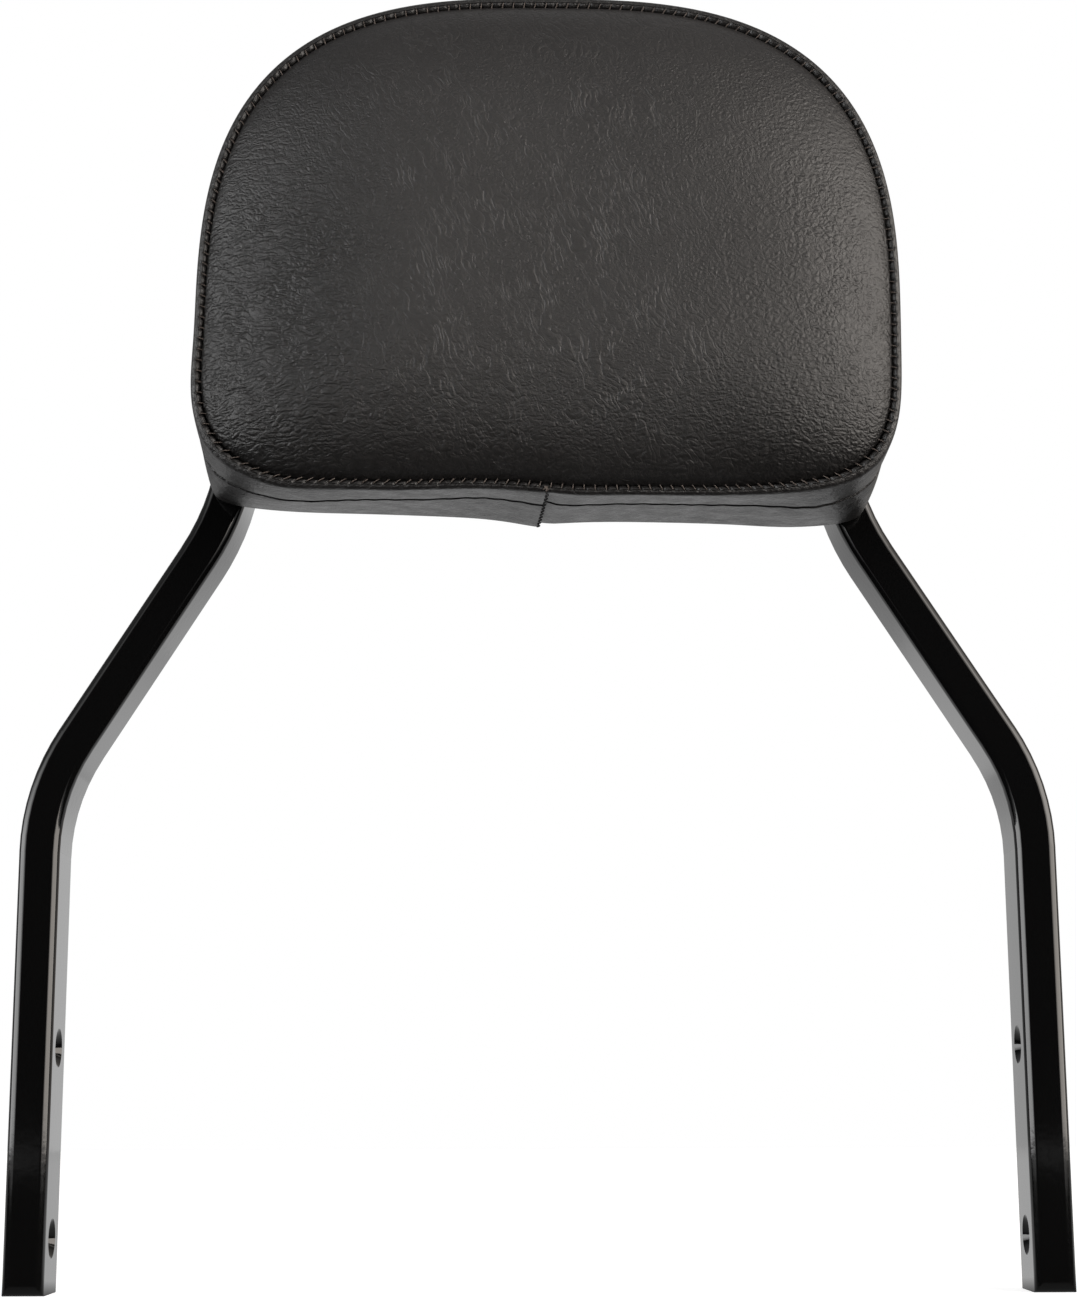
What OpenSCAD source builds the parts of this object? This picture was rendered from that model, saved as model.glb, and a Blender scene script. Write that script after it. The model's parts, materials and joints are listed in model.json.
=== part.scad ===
// Sissy bar: a bent bar that stands behind a motorbike seat, with a padded backrest.
// X runs to the right as the rider's back meets it, -Y is the pad side and Z is up.
// The legs end at Z = 0, and the depth of the whole part is centred on Y = 0.

/* [Bar] */
// Width of the bar, seen from the front
bar_w = 12.7; // [10:0.1:16]
// Depth of the bar, front to back
bar_d = 25.4; // [19:0.1:32]
// Rounding along the bar's four edges
bar_edge_r = 2.4; // [0.6:0.1:3.5]
// Rounding of the front and back edges at the leg ends
leg_end_r = 3; // [0.5:0.1:4.5]

/* [Hoop] */
// Width over the outer faces of the two legs
leg_span = 324; // [290:1:350]
// Straight length of each leg below its first bend
leg_straight = 133.3; // [100:0.5:170]
// Lean of the diagonals from upright
lean = 32.2; // [24:0.1:38]
// Centreline radius of the bends above the legs
leg_bend_r = 66; // [45:1:80]
// Width over the outer faces of the hoop behind the pad
hoop_span = 205.4; // [196:0.2:212]
// Centreline radius of the bends below the pad
neck_bend_r = 80; // [60:1:85]
// Centreline radius of the hoop's top corners
crown_bend_r = 66; // [50:1:72]
// Straight length of the hoop's sides above the neck
side_len = 40; // [32:1:60]

/* [Leg holes] */
// Height of the lower hole above the leg end
hole_low = 16.4; // [14:0.1:24]
// Spacing of the two holes in a leg
hole_spacing = 57.15; // [40:0.05:70]
// Diameter of the tapped hole
hole_dia = 8; // [6:0.1:8.6]
// Diameter of the countersink at the hole's mouth
sink_dia = 12; // [10:0.1:13]
// Metal left behind the hole's straight wall
hole_floor = 3.7; // [3:0.1:5]

/* [Straps] */
// Thickness of the flat straps
strap_t = 4.8; // [3:0.1:8]
// Height of each strap
strap_h = 25; // [20:0.5:27]
// Height of the lower strap's edge above the start of the hoop's straight sides
strap_low_gap = 1.9; // [0:0.1:4]
// Height of the upper strap's edge above the start of the top corners
strap_high_gap = 19.8; // [4:0.1:24]
// Leg of the weld bead at each end of a strap
weld_leg = 3.5; // [2:0.1:5]
// How far the weld bead stops short of the strap's edges
bead_short = 2; // [1.5:0.1:6]
// Clearance between a strap's end and the hoop it is welded to
strap_gap = 0.06; // [0.04:0.01:0.3]

/* [Pad] */
// How far the pad reaches past the hoop on each side, at its widest line
pad_over_side = 6.3; // [3:0.1:14]
// How far the pad reaches above the hoop
pad_over_top = 15.5; // [8:0.5:24]
// Height of the pad's widest line above the start of the hoop's straight sides
pad_mid_rise = 20.4; // [16:0.1:26]
// Drop of the pad below its widest line
pad_drop = 54.5; // [51:0.5:58]
// Roundness of the upper outline (2 is an ellipse, more is squarer)
round_high = 2.9; // [2.5:0.05:3.4]
// Roundness of the lower outline at the front
round_low = 5.2; // [4.4:0.1:7]
// Roundness of the lower outline at the back
round_back = 9; // [6:0.5:12]
// Depth of the pad from its back to the front seam
seam_depth = 48; // [40:1:60]
// Depth of the second seam in front of the pad's back
second_seam = 31; // [24:0.5:36]
// How far the face swells in front of the front seam
dome_h = 13; // [6:0.5:18]
// How much narrower the pad is at its back, on each side
back_taper = 2; // [0:0.1:4]
// Rounding of the front border
border_r = 3; // [2:0.1:4.5]
// Rounding of the cover over the board's back edge
back_r = 2.6; // [2:0.1:4]

/* [Cover and board] */
// Thickness of the vinyl cover
cover_t = 1.2; // [0.8:0.1:1.6]
// Clearance between a soft layer and what it lies on
soft_gap = 0.25; // [0.15:0.05:0.35]
// Width of the hem that is turned over the board's back
hem_w = 15; // [10:0.5:22]
// Thickness of the base board
board_t = 9.5; // [7:0.5:13]
// How far the foam wraps round the board's edge
foam_wrap = 5; // [3:0.5:8]
// Thickness of the back panel
panel_t = 0.9; // [0.6:0.1:1.4]
// How far the back panel's edge lies inside the pad's edge
panel_inset = 6; // [4.5:0.5:9]

/* [Fasteners] */
// Distance from the middle to each column of screws
screw_x = 45; // [30:0.5:56]
// Thread diameter of the pad screws
screw_dia = 6; // [5:0.1:7]
// Diameter of the screw head
head_dia = 10.5; // [9:0.1:13]
// Height of the screw head
head_h = 3.3; // [2.6:0.1:4.5]
// Width across the flats of the socket in the head
socket_af = 4; // [3:0.1:5]
// How far the screw's end stays behind the board's front
screw_short = 2.15; // [0.5:0.05:4]
// Clearance on diameter of the strap's and the board's screw holes
screw_clear = 0.8; // [0.4:0.1:1.6]
// Clearance on diameter between screw and thread
thread_clear = 0.3; // [0.1:0.05:0.5]
// Outer diameter of the flat washer
washer_dia = 14; // [12:0.5:18]
// Thickness of the flat washer
washer_t = 1.4; // [1:0.1:2]
// Outer diameter of the lock washer
lock_dia = 10.2; // [9:0.1:12]
// Thickness of the lock washer
lock_t = 1.6; // [1.2:0.1:2]
// Wall of the tee nut's barrel round the thread
tee_wall = 0.85; // [0.6:0.05:1.6]
// Diameter of the tee nut's flange
tee_flange = 18; // [15:0.5:22]
// Thickness of the tee nut's flange
tee_t = 1.4; // [1:0.1:2]

/* [Hidden] */
$fn = 96;
eps = 0.01;

// Joined stretches bite into each other, and a bend is a hair stouter, so that they fuse cleanly
bite = 0.5;
bend_swell = 0.02;

// Colours, as the photograph shows them
gloss_black = [0.05, 0.05, 0.05];
vinyl_black = [0.16, 0.155, 0.15];
foam_grey = [0.78, 0.76, 0.70];
board_brown = [0.55, 0.43, 0.30];
cloth_black = [0.12, 0.12, 0.12];
zinc = [0.72, 0.73, 0.74];

// Centreline of the bar, right side
leg_x = (leg_span - bar_w) / 2;
hoop_x = (hoop_span - bar_w) / 2;
leg_bend_rise = leg_bend_r * sin(lean);
leg_bend_in = leg_bend_r * (1 - cos(lean));
neck_rise = neck_bend_r * sin(lean);
neck_in = neck_bend_r * (1 - cos(lean));
diagonal_in = leg_x - hoop_x - leg_bend_in - neck_in;
diagonal_len = diagonal_in / sin(lean);
neck_z = leg_straight + leg_bend_rise + diagonal_in / tan(lean) + neck_rise;
corner_z = neck_z + side_len;
hoop_top = corner_z + crown_bend_r + bar_w / 2;
crown_half = hoop_x - crown_bend_r;
hole_depth = bar_w - hole_floor;

// Heights of the straps' middles, which are also the heights of the screws
strap_low = neck_z + strap_low_gap + strap_h / 2;
strap_high = corner_z + strap_high_gap + strap_h / 2;

// The pad follows the hoop that it covers
pad_half_w = hoop_span / 2 + pad_over_side;
pad_mid = neck_z + pad_mid_rise;
pad_rise = hoop_top + pad_over_top - pad_mid;

// Layers of the pad, as depths in front of the bar's front face
panel_back = soft_gap;
panel_front = panel_back + panel_t;
hem_back = panel_front + soft_gap;
hem_front = hem_back + cover_t;
board_back = hem_front + soft_gap;
board_front = board_back + board_t;
foam_back = board_front + soft_gap;
skin = cover_t + soft_gap;
board_inset = skin + foam_wrap + soft_gap;

// Outline of the pad: rings of points at equal angles round its widest line
pad_steps = 120;
face_rings = [1, 0.985, 0.95, 0.88, 0.74, 0.5, 0.15];
edge_steps = 4;
face_lift = 20;

// The screws run from behind the washers into the tee nuts
clamp_back = strap_t + washer_t + lock_t;
screw_len = clamp_back + board_front - screw_short;
tee_barrel = screw_dia + thread_clear + 2 * tee_wall;

// The squareness of the lower outline grows from the front seam to the back
function low_round(depth) =
  round_back + (round_low - round_back) * min(1, max(0, depth / seam_depth));

// The back of the pad is a little narrower than its front
function taper(depth) = back_taper * (1 - min(1, max(0, depth / second_seam)));

// Radius of the outline at an angle: a superellipse with its own height and power above and below
function outline_r(a, inset, power_low) =
  let (up = sin(a) >= 0, n = up ? round_high : power_low, h = (up ? pad_rise : pad_drop) - inset)
  pow(pow(abs(cos(a)) / (pad_half_w - inset), n) + pow(abs(sin(a)) / h, n), -1 / n);

// One ring of the pad: inset from the outline, depth, and share of the way out from the middle
function ring(inset, depth, share = 1) =
  [for (i = [0 : pad_steps - 1])
    let (a = 360 * i / pad_steps, r = share * outline_r(a, inset + taper(depth), low_round(depth)))
    [r * cos(a), -depth, pad_mid + face_lift * (1 - share) + r * sin(a)]];

// Depth of the domed face at a share of the way out
function dome(share) = seam_depth + dome_h * pow(1 - pow(share, 3), 0.75);

// The bar's front face is at Y = 0 while the part is built, then the whole is centred in depth
frame_y = (dome(face_rings[len(face_rings) - 1]) - bar_d) / 2;

// An arc in inset and depth, for the rounded edges of the cover
function edge_arc(inset, depth, r, from, to, steps) =
  [for (i = [0 : steps]) let (a = from + (to - from) * i / steps)
    [inset - r * cos(a), depth + r * sin(a)]];

// Outline of the pad as a flat polygon, seen from the front
function flat_outline(inset, depth) = [for (p = ring(inset, depth)) [p[0], p[2]]];

// A ring moved straight back to another depth
function at_depth(points, depth) = [for (p = points) [p[0], -depth, p[2]]];

// Middle of a ring, between two points that face each other
function ring_middle(points) = (points[0] + points[pad_steps / 2]) / 2;

// Skin through a list of rings, closed by flat ends or into a loop
module through_rings(rings, looped = false) {
  count = len(rings);
  last = looped ? count - 1 : count - 2;
  sides = [for (k = [0 : last], i = [0 : pad_steps - 1])
    let (j = (i + 1) % pad_steps, m = (k + 1) % count)
    [k * pad_steps + i, m * pad_steps + i, m * pad_steps + j, k * pad_steps + j]];
  first = count * pad_steps;
  top = first - pad_steps;
  ends = looped ? [] : [for (i = [0 : pad_steps - 1]) let (j = (i + 1) % pad_steps)
    each [[first, i, j], [first + 1, top + j, top + i]]];
  middles = looped ? [] : [ring_middle(rings[0]), ring_middle(rings[count - 1])];
  polyhedron(points = concat([for (r = rings) each r], middles), faces = concat(sides, ends), convexity = 6);
}

// Flat layer of the pad, with the outline that the pad has at one of the layer's two depths
module pad_layer(inset, depth, thickness) {
  translate([0, -min(depth, depth + thickness), 0])
    rotate([90, 0, 0])
      linear_extrude(height = abs(thickness)) polygon(flat_outline(inset, depth));
}

// Moves a piece from the bar's front face to the part's own origin
module placed() {
  translate([0, frame_y, 0]) children();
}

// Lays a piece that is built along Z along Y, pointing back, at a screw
module at_screw(side, height, depth) {
  translate([side * screw_x, depth, height]) rotate([-90, 0, 0]) children();
}

// Section of the bar: width across, depth from the front face back
module bar_section(swell = 0) {
  half_w = bar_w / 2 + swell;
  half_d = bar_d / 2 + swell;
  translate([0, bar_d / 2]) {
    square(2 * [half_w - bar_edge_r, half_d], center = true);
    square(2 * [half_w, half_d - bar_edge_r], center = true);
    for (x = [-1, 1], y = [-1, 1])
      translate([x * (half_w - bar_edge_r), y * (half_d - bar_edge_r)]) circle(r = bar_edge_r);
  }
}

// Straight stretch of bar, upwards from a point beside the Y axis, with a bite at both ends
module bar_straight(x, length) {
  translate([x, 0, -bite]) linear_extrude(height = length + 2 * bite) bar_section();
}

// Bend of the bar about the Y axis, from level with the axis up to an angle
module bar_bend(r, turn) {
  spare = 10;
  reach = r + bar_w;
  intersection() {
    rotate([0, -turn, 0]) rotate([-90, 0, 0])
      rotate_extrude(angle = turn + spare) translate([r, 0]) bar_section(bend_swell);
    translate([-reach, -bar_d, 0]) cube([2 * reach, 3 * bar_d, 2 * reach]);
  }
}

// Side view of the leg end: its front and back corners are rounded
module leg_end_profile() {
  translate([leg_end_r, 0]) square([bar_d - 2 * leg_end_r, leg_straight]);
  translate([-1, leg_end_r]) square([bar_d + 2, leg_straight]);
  for (y = [leg_end_r, bar_d - leg_end_r]) translate([y, leg_end_r]) circle(r = leg_end_r);
}

module leg() {
  intersection() {
    bar_straight(leg_x, leg_straight);
    translate([leg_x - bar_w, 0, 0]) rotate([90, 0, 90])
      linear_extrude(height = 2 * bar_w) leg_end_profile();
  }
}

// Tapped hole with its countersink and drill point, from the leg's inner face outwards
module leg_hole(z) {
  sink_depth = (sink_dia - hole_dia) / 2;
  translate([leg_x - bar_w / 2, bar_d / 2, z]) rotate([0, 90, 0]) {
    cylinder(h = hole_depth, d = hole_dia);
    translate([0, 0, -eps]) cylinder(h = sink_depth + eps, d1 = sink_dia + 2 * eps, d2 = hole_dia);
    translate([0, 0, hole_depth]) cylinder(h = hole_dia * 0.28, d1 = hole_dia, d2 = 0.6);
  }
}

// Crown of the hoop, about the centre of its corner bend: it runs a little past the middle
module crown() {
  bar_bend(crown_bend_r, 90);
  rotate([0, -90, 0]) bar_straight(crown_bend_r, crown_half + bar_w);
}

// Neck of the hoop, about the centre of its lower bend: the bend, then the upright side
module neck() {
  mirror([1, 0, 0]) bar_bend(neck_bend_r, lean);
  rotate([0, lean, 0]) {
    bar_straight(-neck_bend_r, side_len);
    translate([-neck_bend_r - crown_bend_r, 0, side_len]) crown();
  }
}

// One half of the hoop, from the leg end to the middle: each stretch hangs on the one below it
module half_hoop() {
  difference() {
    leg();
    leg_hole(hole_low);
    leg_hole(hole_low + hole_spacing);
  }
  translate([leg_x - leg_bend_r, 0, leg_straight]) {
    bar_bend(leg_bend_r, lean);
    rotate([0, -lean, 0]) {
      bar_straight(leg_bend_r, diagonal_len);
      translate([leg_bend_r + neck_bend_r, 0, diagonal_len]) neck();
    }
  }
}

module upright_hoop() {
  color(gloss_black) placed() {
    half_hoop();
    mirror([1, 0, 0]) half_hoop();
  }
}

// Space inside the hoop, seen from the front: what a strap has to fill from side to side
module hoop_inside() {
  half = hoop_x - bar_w / 2 - strap_gap;
  r = crown_bend_r - bar_w / 2 - strap_gap;
  translate([-half, neck_z]) square([2 * half, corner_z - neck_z]);
  translate([-half + r, corner_z]) square([2 * (half - r), r]);
  for (s = [-1, 1]) translate([s * (half - r), corner_z]) circle(r = r);
}

// Flat strap between the hoop's sides, with its two screw holes
module strap_plate(height) {
  difference() {
    rotate([90, 0, 0]) translate([0, 0, -strap_t])
      linear_extrude(height = strap_t)
        intersection() {
          hoop_inside();
          translate([-hoop_span / 2, height - strap_h / 2]) square([hoop_span, strap_h]);
        }
    for (s = [-1, 1])
      at_screw(s, height, -1) cylinder(h = strap_t + 2, d = screw_dia + screw_clear);
  }
}

// Section of a weld bead: how far in from the hoop, how far behind the strap
function bead(from) = [[from, -bite], [from + weld_leg, -bite], [from + weld_leg, 0], [from, weld_leg]];

// Weld bead behind the strap's end where the hoop's side is straight
module weld_straight(side, height) {
  translate([side * (hoop_x - bar_w / 2), strap_t, height - strap_h / 2 + bead_short])
    mirror([side > 0 ? 1 : 0, 0, 0])
      linear_extrude(height = strap_h - 2 * bead_short) polygon(bead(2 * strap_gap));
}

// Weld bead behind the strap's end where the hoop's side is bent
module weld_curved(height) {
  r = crown_bend_r - bar_w / 2;
  from = asin((height - strap_h / 2 + bead_short - corner_z) / r);
  to = asin((height + strap_h / 2 - bead_short - corner_z) / r);
  translate([hoop_x - crown_bend_r, strap_t, corner_z]) rotate([-90, 0, 0]) rotate([0, 0, -to])
    rotate_extrude(angle = to - from) polygon([for (p = bead(2 * strap_gap)) [r - p[0], p[1]]]);
}

module upper_cross_strap() {
  color(gloss_black) placed() {
    strap_plate(strap_high);
    weld_curved(strap_high);
    mirror([1, 0, 0]) weld_curved(strap_high);
  }
}

module lower_cross_strap() {
  color(gloss_black) placed() {
    strap_plate(strap_low);
    for (s = [-1, 1]) weld_straight(s, strap_low);
  }
}

module pad_base_board() {
  color(board_brown) placed() difference() {
    pad_layer(board_inset, board_front, -board_t);
    for (s = [-1, 1], z = [strap_low, strap_high]) {
      at_screw(s, z, -board_front - 1) cylinder(h = board_t + 2, d = tee_barrel + 2 * soft_gap);
      at_screw(s, z, -board_front - 1) cylinder(h = tee_t + 1, d = tee_flange + 2 * soft_gap);
    }
  }
}

// The foam fills the cover: it wraps round the board's edge and swells out to the face
module pad_foam() {
  pocket = ring(skin + foam_wrap, foam_back);
  edge = edge_arc(border_r, seam_depth - border_r, border_r - skin, 0, 90, edge_steps);
  rings = concat(
    [pocket, at_depth(pocket, board_back), ring(back_r + soft_gap, board_back)],
    [ring(skin, board_back + back_r - cover_t), ring(skin, second_seam)],
    [for (p = edge) ring(p[0], p[1])],
    [for (i = [1 : len(face_rings) - 1]) ring(border_r, dome(face_rings[i]) - skin, face_rings[i])]);
  color(foam_grey) placed() through_rings(rings);
}

// Domed face of the cover, out to the front seam
module pad_face_panel() {
  inside = [for (i = [len(face_rings) - 1 : -1 : 0]) face_rings[i]];
  outer = [for (s = inside) ring(border_r, dome(s), s)];
  inner = [for (s = face_rings) ring(border_r, dome(s) - cover_t, s)];
  color(vinyl_black) placed() through_rings(concat(outer, inner));
}

// Strip that rolls over the front edge, from the front seam back to the second seam
module pad_border_strip() {
  centre = seam_depth - border_r;
  outer = edge_arc(border_r, centre, border_r, 90, 0, edge_steps);
  inner = edge_arc(border_r, centre, border_r - cover_t, 0, 90, edge_steps);
  seam_edge = border_r - soft_gap;
  section = concat(
    [[seam_edge, seam_depth]], [for (i = [1 : edge_steps]) outer[i]],
    [[0, second_seam + soft_gap], [cover_t, second_seam + soft_gap]],
    [for (i = [0 : edge_steps - 1]) inner[i]], [[seam_edge, seam_depth - cover_t]]);
  color(vinyl_black) placed()
    through_rings([for (p = section) ring(p[0], p[1])], looped = true);
}

// Strip round the side, turned over the board's back as a hem
module pad_side_band() {
  centre = hem_back + back_r;
  outer = edge_arc(back_r, centre, back_r, 0, -90, edge_steps);
  inner = edge_arc(back_r, centre, back_r - cover_t, -90, 0, edge_steps);
  section = concat(
    [[0, second_seam]], outer, [[hem_w, hem_back], [hem_w, hem_front]],
    inner, [[cover_t, second_seam]]);
  color(vinyl_black) placed()
    through_rings([for (p = section) ring(p[0], p[1])], looped = true);
}

module pad_back_panel() {
  color(cloth_black) placed() difference() {
    pad_layer(panel_inset, panel_back, panel_t);
    for (s = [-1, 1], z = [strap_low, strap_high])
      at_screw(s, z, -panel_front - 1) cylinder(h = panel_t + 2, d = tee_barrel + 2 * soft_gap);
  }
}

// Button head screw: rounded head behind, hexagon socket in it
module pad_screw(side, height) {
  sag = head_h;
  half = head_dia / 2;
  ball_r = (half * half + sag * sag) / (2 * sag);
  color(zinc) placed() {
    at_screw(side, height, clamp_back - screw_len) cylinder(h = screw_len + eps, d = screw_dia);
    at_screw(side, height, clamp_back) difference() {
      intersection() {
        cylinder(h = head_h, d = head_dia);
        translate([0, 0, sag - ball_r]) sphere(r = ball_r);
      }
      translate([0, 0, head_h * 0.4]) cylinder(h = head_h, d = socket_af / cos(30), $fn = 6);
    }
  }
}

// Split spring washer under the screw head
module lock_washer(side, height) {
  inner = (screw_dia + thread_clear) / 2;
  color(zinc) placed() at_screw(side, height, clamp_back - lock_t)
    rotate_extrude(angle = 348) translate([inner, 0]) square([lock_dia / 2 - inner, lock_t]);
}

module flat_washer(side, height) {
  color(zinc) placed() at_screw(side, height, strap_t) difference() {
    cylinder(h = washer_t, d = washer_dia);
    translate([0, 0, -1]) cylinder(h = washer_t + 2, d = screw_dia + screw_clear);
  }
}

// Tee nut: flange on the board's foam side, threaded barrel through the board
module tee_nut(side, height) {
  color(zinc) placed() at_screw(side, height, -board_front) difference() {
    union() {
      cylinder(h = tee_t, d = tee_flange);
      cylinder(h = board_t - soft_gap, d = tee_barrel);
    }
    translate([0, 0, -1]) cylinder(h = board_t + 2, d = screw_dia + thread_clear);
  }
}

upright_hoop();
upper_cross_strap();
lower_cross_strap();
pad_base_board();
pad_foam();
pad_face_panel();
pad_border_strip();
pad_side_band();
pad_back_panel();
pad_screw(-1, strap_high);  // pad_screw_upper_left
pad_screw(1, strap_high);  // pad_screw_upper_right
pad_screw(-1, strap_low);  // pad_screw_lower_left
pad_screw(1, strap_low);  // pad_screw_lower_right
lock_washer(-1, strap_high);  // lock_washer_upper_left
lock_washer(1, strap_high);  // lock_washer_upper_right
lock_washer(-1, strap_low);  // lock_washer_lower_left
lock_washer(1, strap_low);  // lock_washer_lower_right
flat_washer(-1, strap_high);  // flat_washer_upper_left
flat_washer(1, strap_high);  // flat_washer_upper_right
flat_washer(-1, strap_low);  // flat_washer_lower_left
flat_washer(1, strap_low);  // flat_washer_lower_right
tee_nut(-1, strap_high);  // tee_nut_upper_left
tee_nut(1, strap_high);  // tee_nut_upper_right
tee_nut(-1, strap_low);  // tee_nut_lower_left
tee_nut(1, strap_low);  // tee_nut_lower_right
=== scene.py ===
"""Dressed model of a padded backrest on a bent bar, laid out as an add-on and run as a script.

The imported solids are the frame. The bar, straps, board and fasteners keep their solids and get
materials. The pad's cover and foam are rebuilt as sewn vinyl over a crowned cushion.
"""

import json
import math

import bpy
import numpy as np
from bpy.props import FloatProperty, FloatVectorProperty, IntProperty, PointerProperty
from mathutils import Euler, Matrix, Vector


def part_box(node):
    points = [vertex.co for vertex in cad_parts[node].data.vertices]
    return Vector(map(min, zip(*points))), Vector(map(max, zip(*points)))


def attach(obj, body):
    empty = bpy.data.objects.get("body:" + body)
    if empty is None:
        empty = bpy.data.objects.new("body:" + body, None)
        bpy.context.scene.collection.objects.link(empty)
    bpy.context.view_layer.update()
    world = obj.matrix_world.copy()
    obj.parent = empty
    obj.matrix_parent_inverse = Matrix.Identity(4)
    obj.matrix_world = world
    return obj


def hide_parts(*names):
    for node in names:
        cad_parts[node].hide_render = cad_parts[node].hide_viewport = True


bl_info = {
    "name": "Padded backrest",
    "version": (1, 0, 0),
    "blender": (4, 5, 0),
    "location": "3D View > Sidebar > Backrest",
    "description": "Builds the sewn pad, the small hardware and the studio round a backrest bar",
    "category": "Object",
}

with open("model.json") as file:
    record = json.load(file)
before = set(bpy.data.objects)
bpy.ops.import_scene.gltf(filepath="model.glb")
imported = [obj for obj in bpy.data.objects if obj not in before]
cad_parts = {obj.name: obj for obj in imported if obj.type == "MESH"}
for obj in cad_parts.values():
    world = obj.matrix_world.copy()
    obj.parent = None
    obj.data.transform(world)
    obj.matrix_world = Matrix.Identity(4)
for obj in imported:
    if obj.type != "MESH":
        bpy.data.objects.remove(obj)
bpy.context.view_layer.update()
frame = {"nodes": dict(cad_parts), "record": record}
MM = 0.001

# The face's simulation: its frames, the ring outside which it is held by the seam, how far its crown is
# flattened before it swells, and how often each move is averaged with its neighbours
SWELL_FRAMES = 20
HELD_RING = 0.985
FLATTENED = 0.9
SPREADING_PASSES = 400

FORWARDS = (0.0, -1.0, 0.0)
BACKWARDS = (0.0, 1.0, 0.0)

# The straps' thickness and the gap at their ends, and the inside radius and centre of the crown's bends
STRAP, STRAP_GAP = 0.0048, 0.00006
CROWN_BEND, CROWN_BEND_X = 0.05965, 0.03035

# The plane of the bar's front face, from which every layer of the pad is measured forwards
FRONT_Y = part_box("upper_cross_strap")[0].y
STRIP_LOW, STRIP_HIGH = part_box("pad_border_strip")


# Settings


class PadSizes(bpy.types.PropertyGroup):
    """Sizes of the sewn cover. Front and back values are blended by the depth before the bar."""

    drop_front: FloatProperty(
        name="Drop at the front", description="Height below the widest line", default=0.0535, unit="LENGTH")
    drop_back: FloatProperty(
        name="Drop at the back", description="Height below the widest line", default=0.0517, unit="LENGTH")
    round_high: FloatProperty(
        name="Upper roundness", description="Power of the upper outline: 2 is an ellipse", default=2.88)
    round_left: FloatProperty(
        name="Lower left roundness", description="Power of the lower left corner at the front", default=5.25)
    round_left_seam: FloatProperty(
        name="Lower left roundness at the seam", description="Power of that corner at the second seam",
        default=7.6)
    round_left_back: FloatProperty(
        name="Lower left roundness at the back", description="Power of that corner at the back", default=18.0)
    round_right: FloatProperty(
        name="Lower right roundness", description="Power of the lower right corner at the front", default=5.9)
    round_right_seam: FloatProperty(
        name="Lower right roundness at the seam", description="Power of that corner at the second seam",
        default=7.7)
    round_right_back: FloatProperty(
        name="Lower right roundness at the back", description="Power of that corner at the back",
        default=18.0)
    turn_front: FloatProperty(
        name="Turn of the front", description="How far the front sits turned, seen from the front",
        default=math.radians(-0.84), subtype="ANGLE")
    turn_back: FloatProperty(
        name="Turn of the back", description="How far the back edge sits turned, seen from the front",
        default=math.radians(-1.95), subtype="ANGLE")
    slide_front: FloatProperty(
        name="Slide of the front", description="How far the front sits to the right",
        default=0.0038, unit="LENGTH")
    slide_back: FloatProperty(
        name="Slide of the back", description="How far the back sits to the right",
        default=0.0011, unit="LENGTH")
    hang: FloatProperty(
        name="Hang", description="Share of the sag of the seams under the pad", default=1.0, subtype="FACTOR")
    seam_depth: FloatProperty(
        name="Front seam", description="Depth of the front edge before the bar", default=0.048, unit="LENGTH")
    second_seam: FloatProperty(
        name="Second seam", description="Depth of the second seam before the bar",
        default=0.031, unit="LENGTH")
    groove: FloatProperty(
        name="Groove", description="How far inside the outline the front seam's groove runs", default=0.0027,
        unit="LENGTH")
    groove_gap: FloatProperty(
        name="Groove gap", description="How wide the groove opens under the pad",
        default=0.0011, unit="LENGTH")
    sink: FloatProperty(
        name="Groove depth", description="How deep the face starts behind the front edge", default=0.0026,
        unit="LENGTH")
    dome: FloatProperty(
        name="Crown", description="How far the face swells before the front edge",
        default=0.013, unit="LENGTH")
    corner: FloatProperty(
        name="Front corner", description="Rounding of the front border", default=0.0016, unit="LENGTH")
    back_corner: FloatProperty(
        name="Back corner", description="Rounding of the cover over the board", default=0.0026, unit="LENGTH")
    hem_back: FloatProperty(
        name="Hem depth", description="Depth of the hem's back face before the bar",
        default=0.0014, unit="LENGTH")
    hem_width: FloatProperty(
        name="Hem width", description="Width of the hem turned over the board", default=0.015, unit="LENGTH")
    vinyl: FloatProperty(
        name="Vinyl", description="Thickness of the cover", default=0.0012, unit="LENGTH")
    lap: FloatProperty(
        name="Lap", description="How proud the left end of the strips lies at the back",
        default=0.001, unit="LENGTH")
    stitch: FloatProperty(
        name="Stitch", description="Pitch of the stitches", default=0.0035, unit="LENGTH")
    pressure: FloatProperty(
        name="Pressure", description="Pressure of the foam behind the face in the simulation", default=4.0)
    swell_cap: FloatProperty(
        name="Most swell", description="The furthest that the simulation moves a point",
        default=0.0015, unit="LENGTH")


class FinishColours(bpy.types.PropertyGroup):
    """Colours of the finishes."""

    vinyl: FloatVectorProperty(
        name="Vinyl", description="Black grained vinyl", subtype="COLOR", default=(0.0150, 0.0139, 0.0137))
    paint: FloatVectorProperty(
        name="Paint", description="Gloss black paint", subtype="COLOR", default=(0.003, 0.003, 0.0031))
    thread: FloatVectorProperty(
        name="Thread", description="Dull brown-grey thread", subtype="COLOR", default=(0.115, 0.092, 0.08))
    dark_thread: FloatVectorProperty(
        name="Dark thread", description="Thread of the second and closing seams", subtype="COLOR",
        default=(0.012, 0.011, 0.011))
    zinc: FloatVectorProperty(
        name="Zinc", description="Bright zinc plate", subtype="COLOR", default=(0.62, 0.63, 0.65))
    board: FloatVectorProperty(
        name="Board", description="Plain plywood", subtype="COLOR", default=(0.42, 0.28, 0.15))
    foam: FloatVectorProperty(
        name="Foam", description="Upholstery foam", subtype="COLOR", default=(0.55, 0.52, 0.45))
    cloth: FloatVectorProperty(
        name="Back cloth", description="Woven cloth over the back", subtype="COLOR",
        default=(0.02, 0.02, 0.02))


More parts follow.
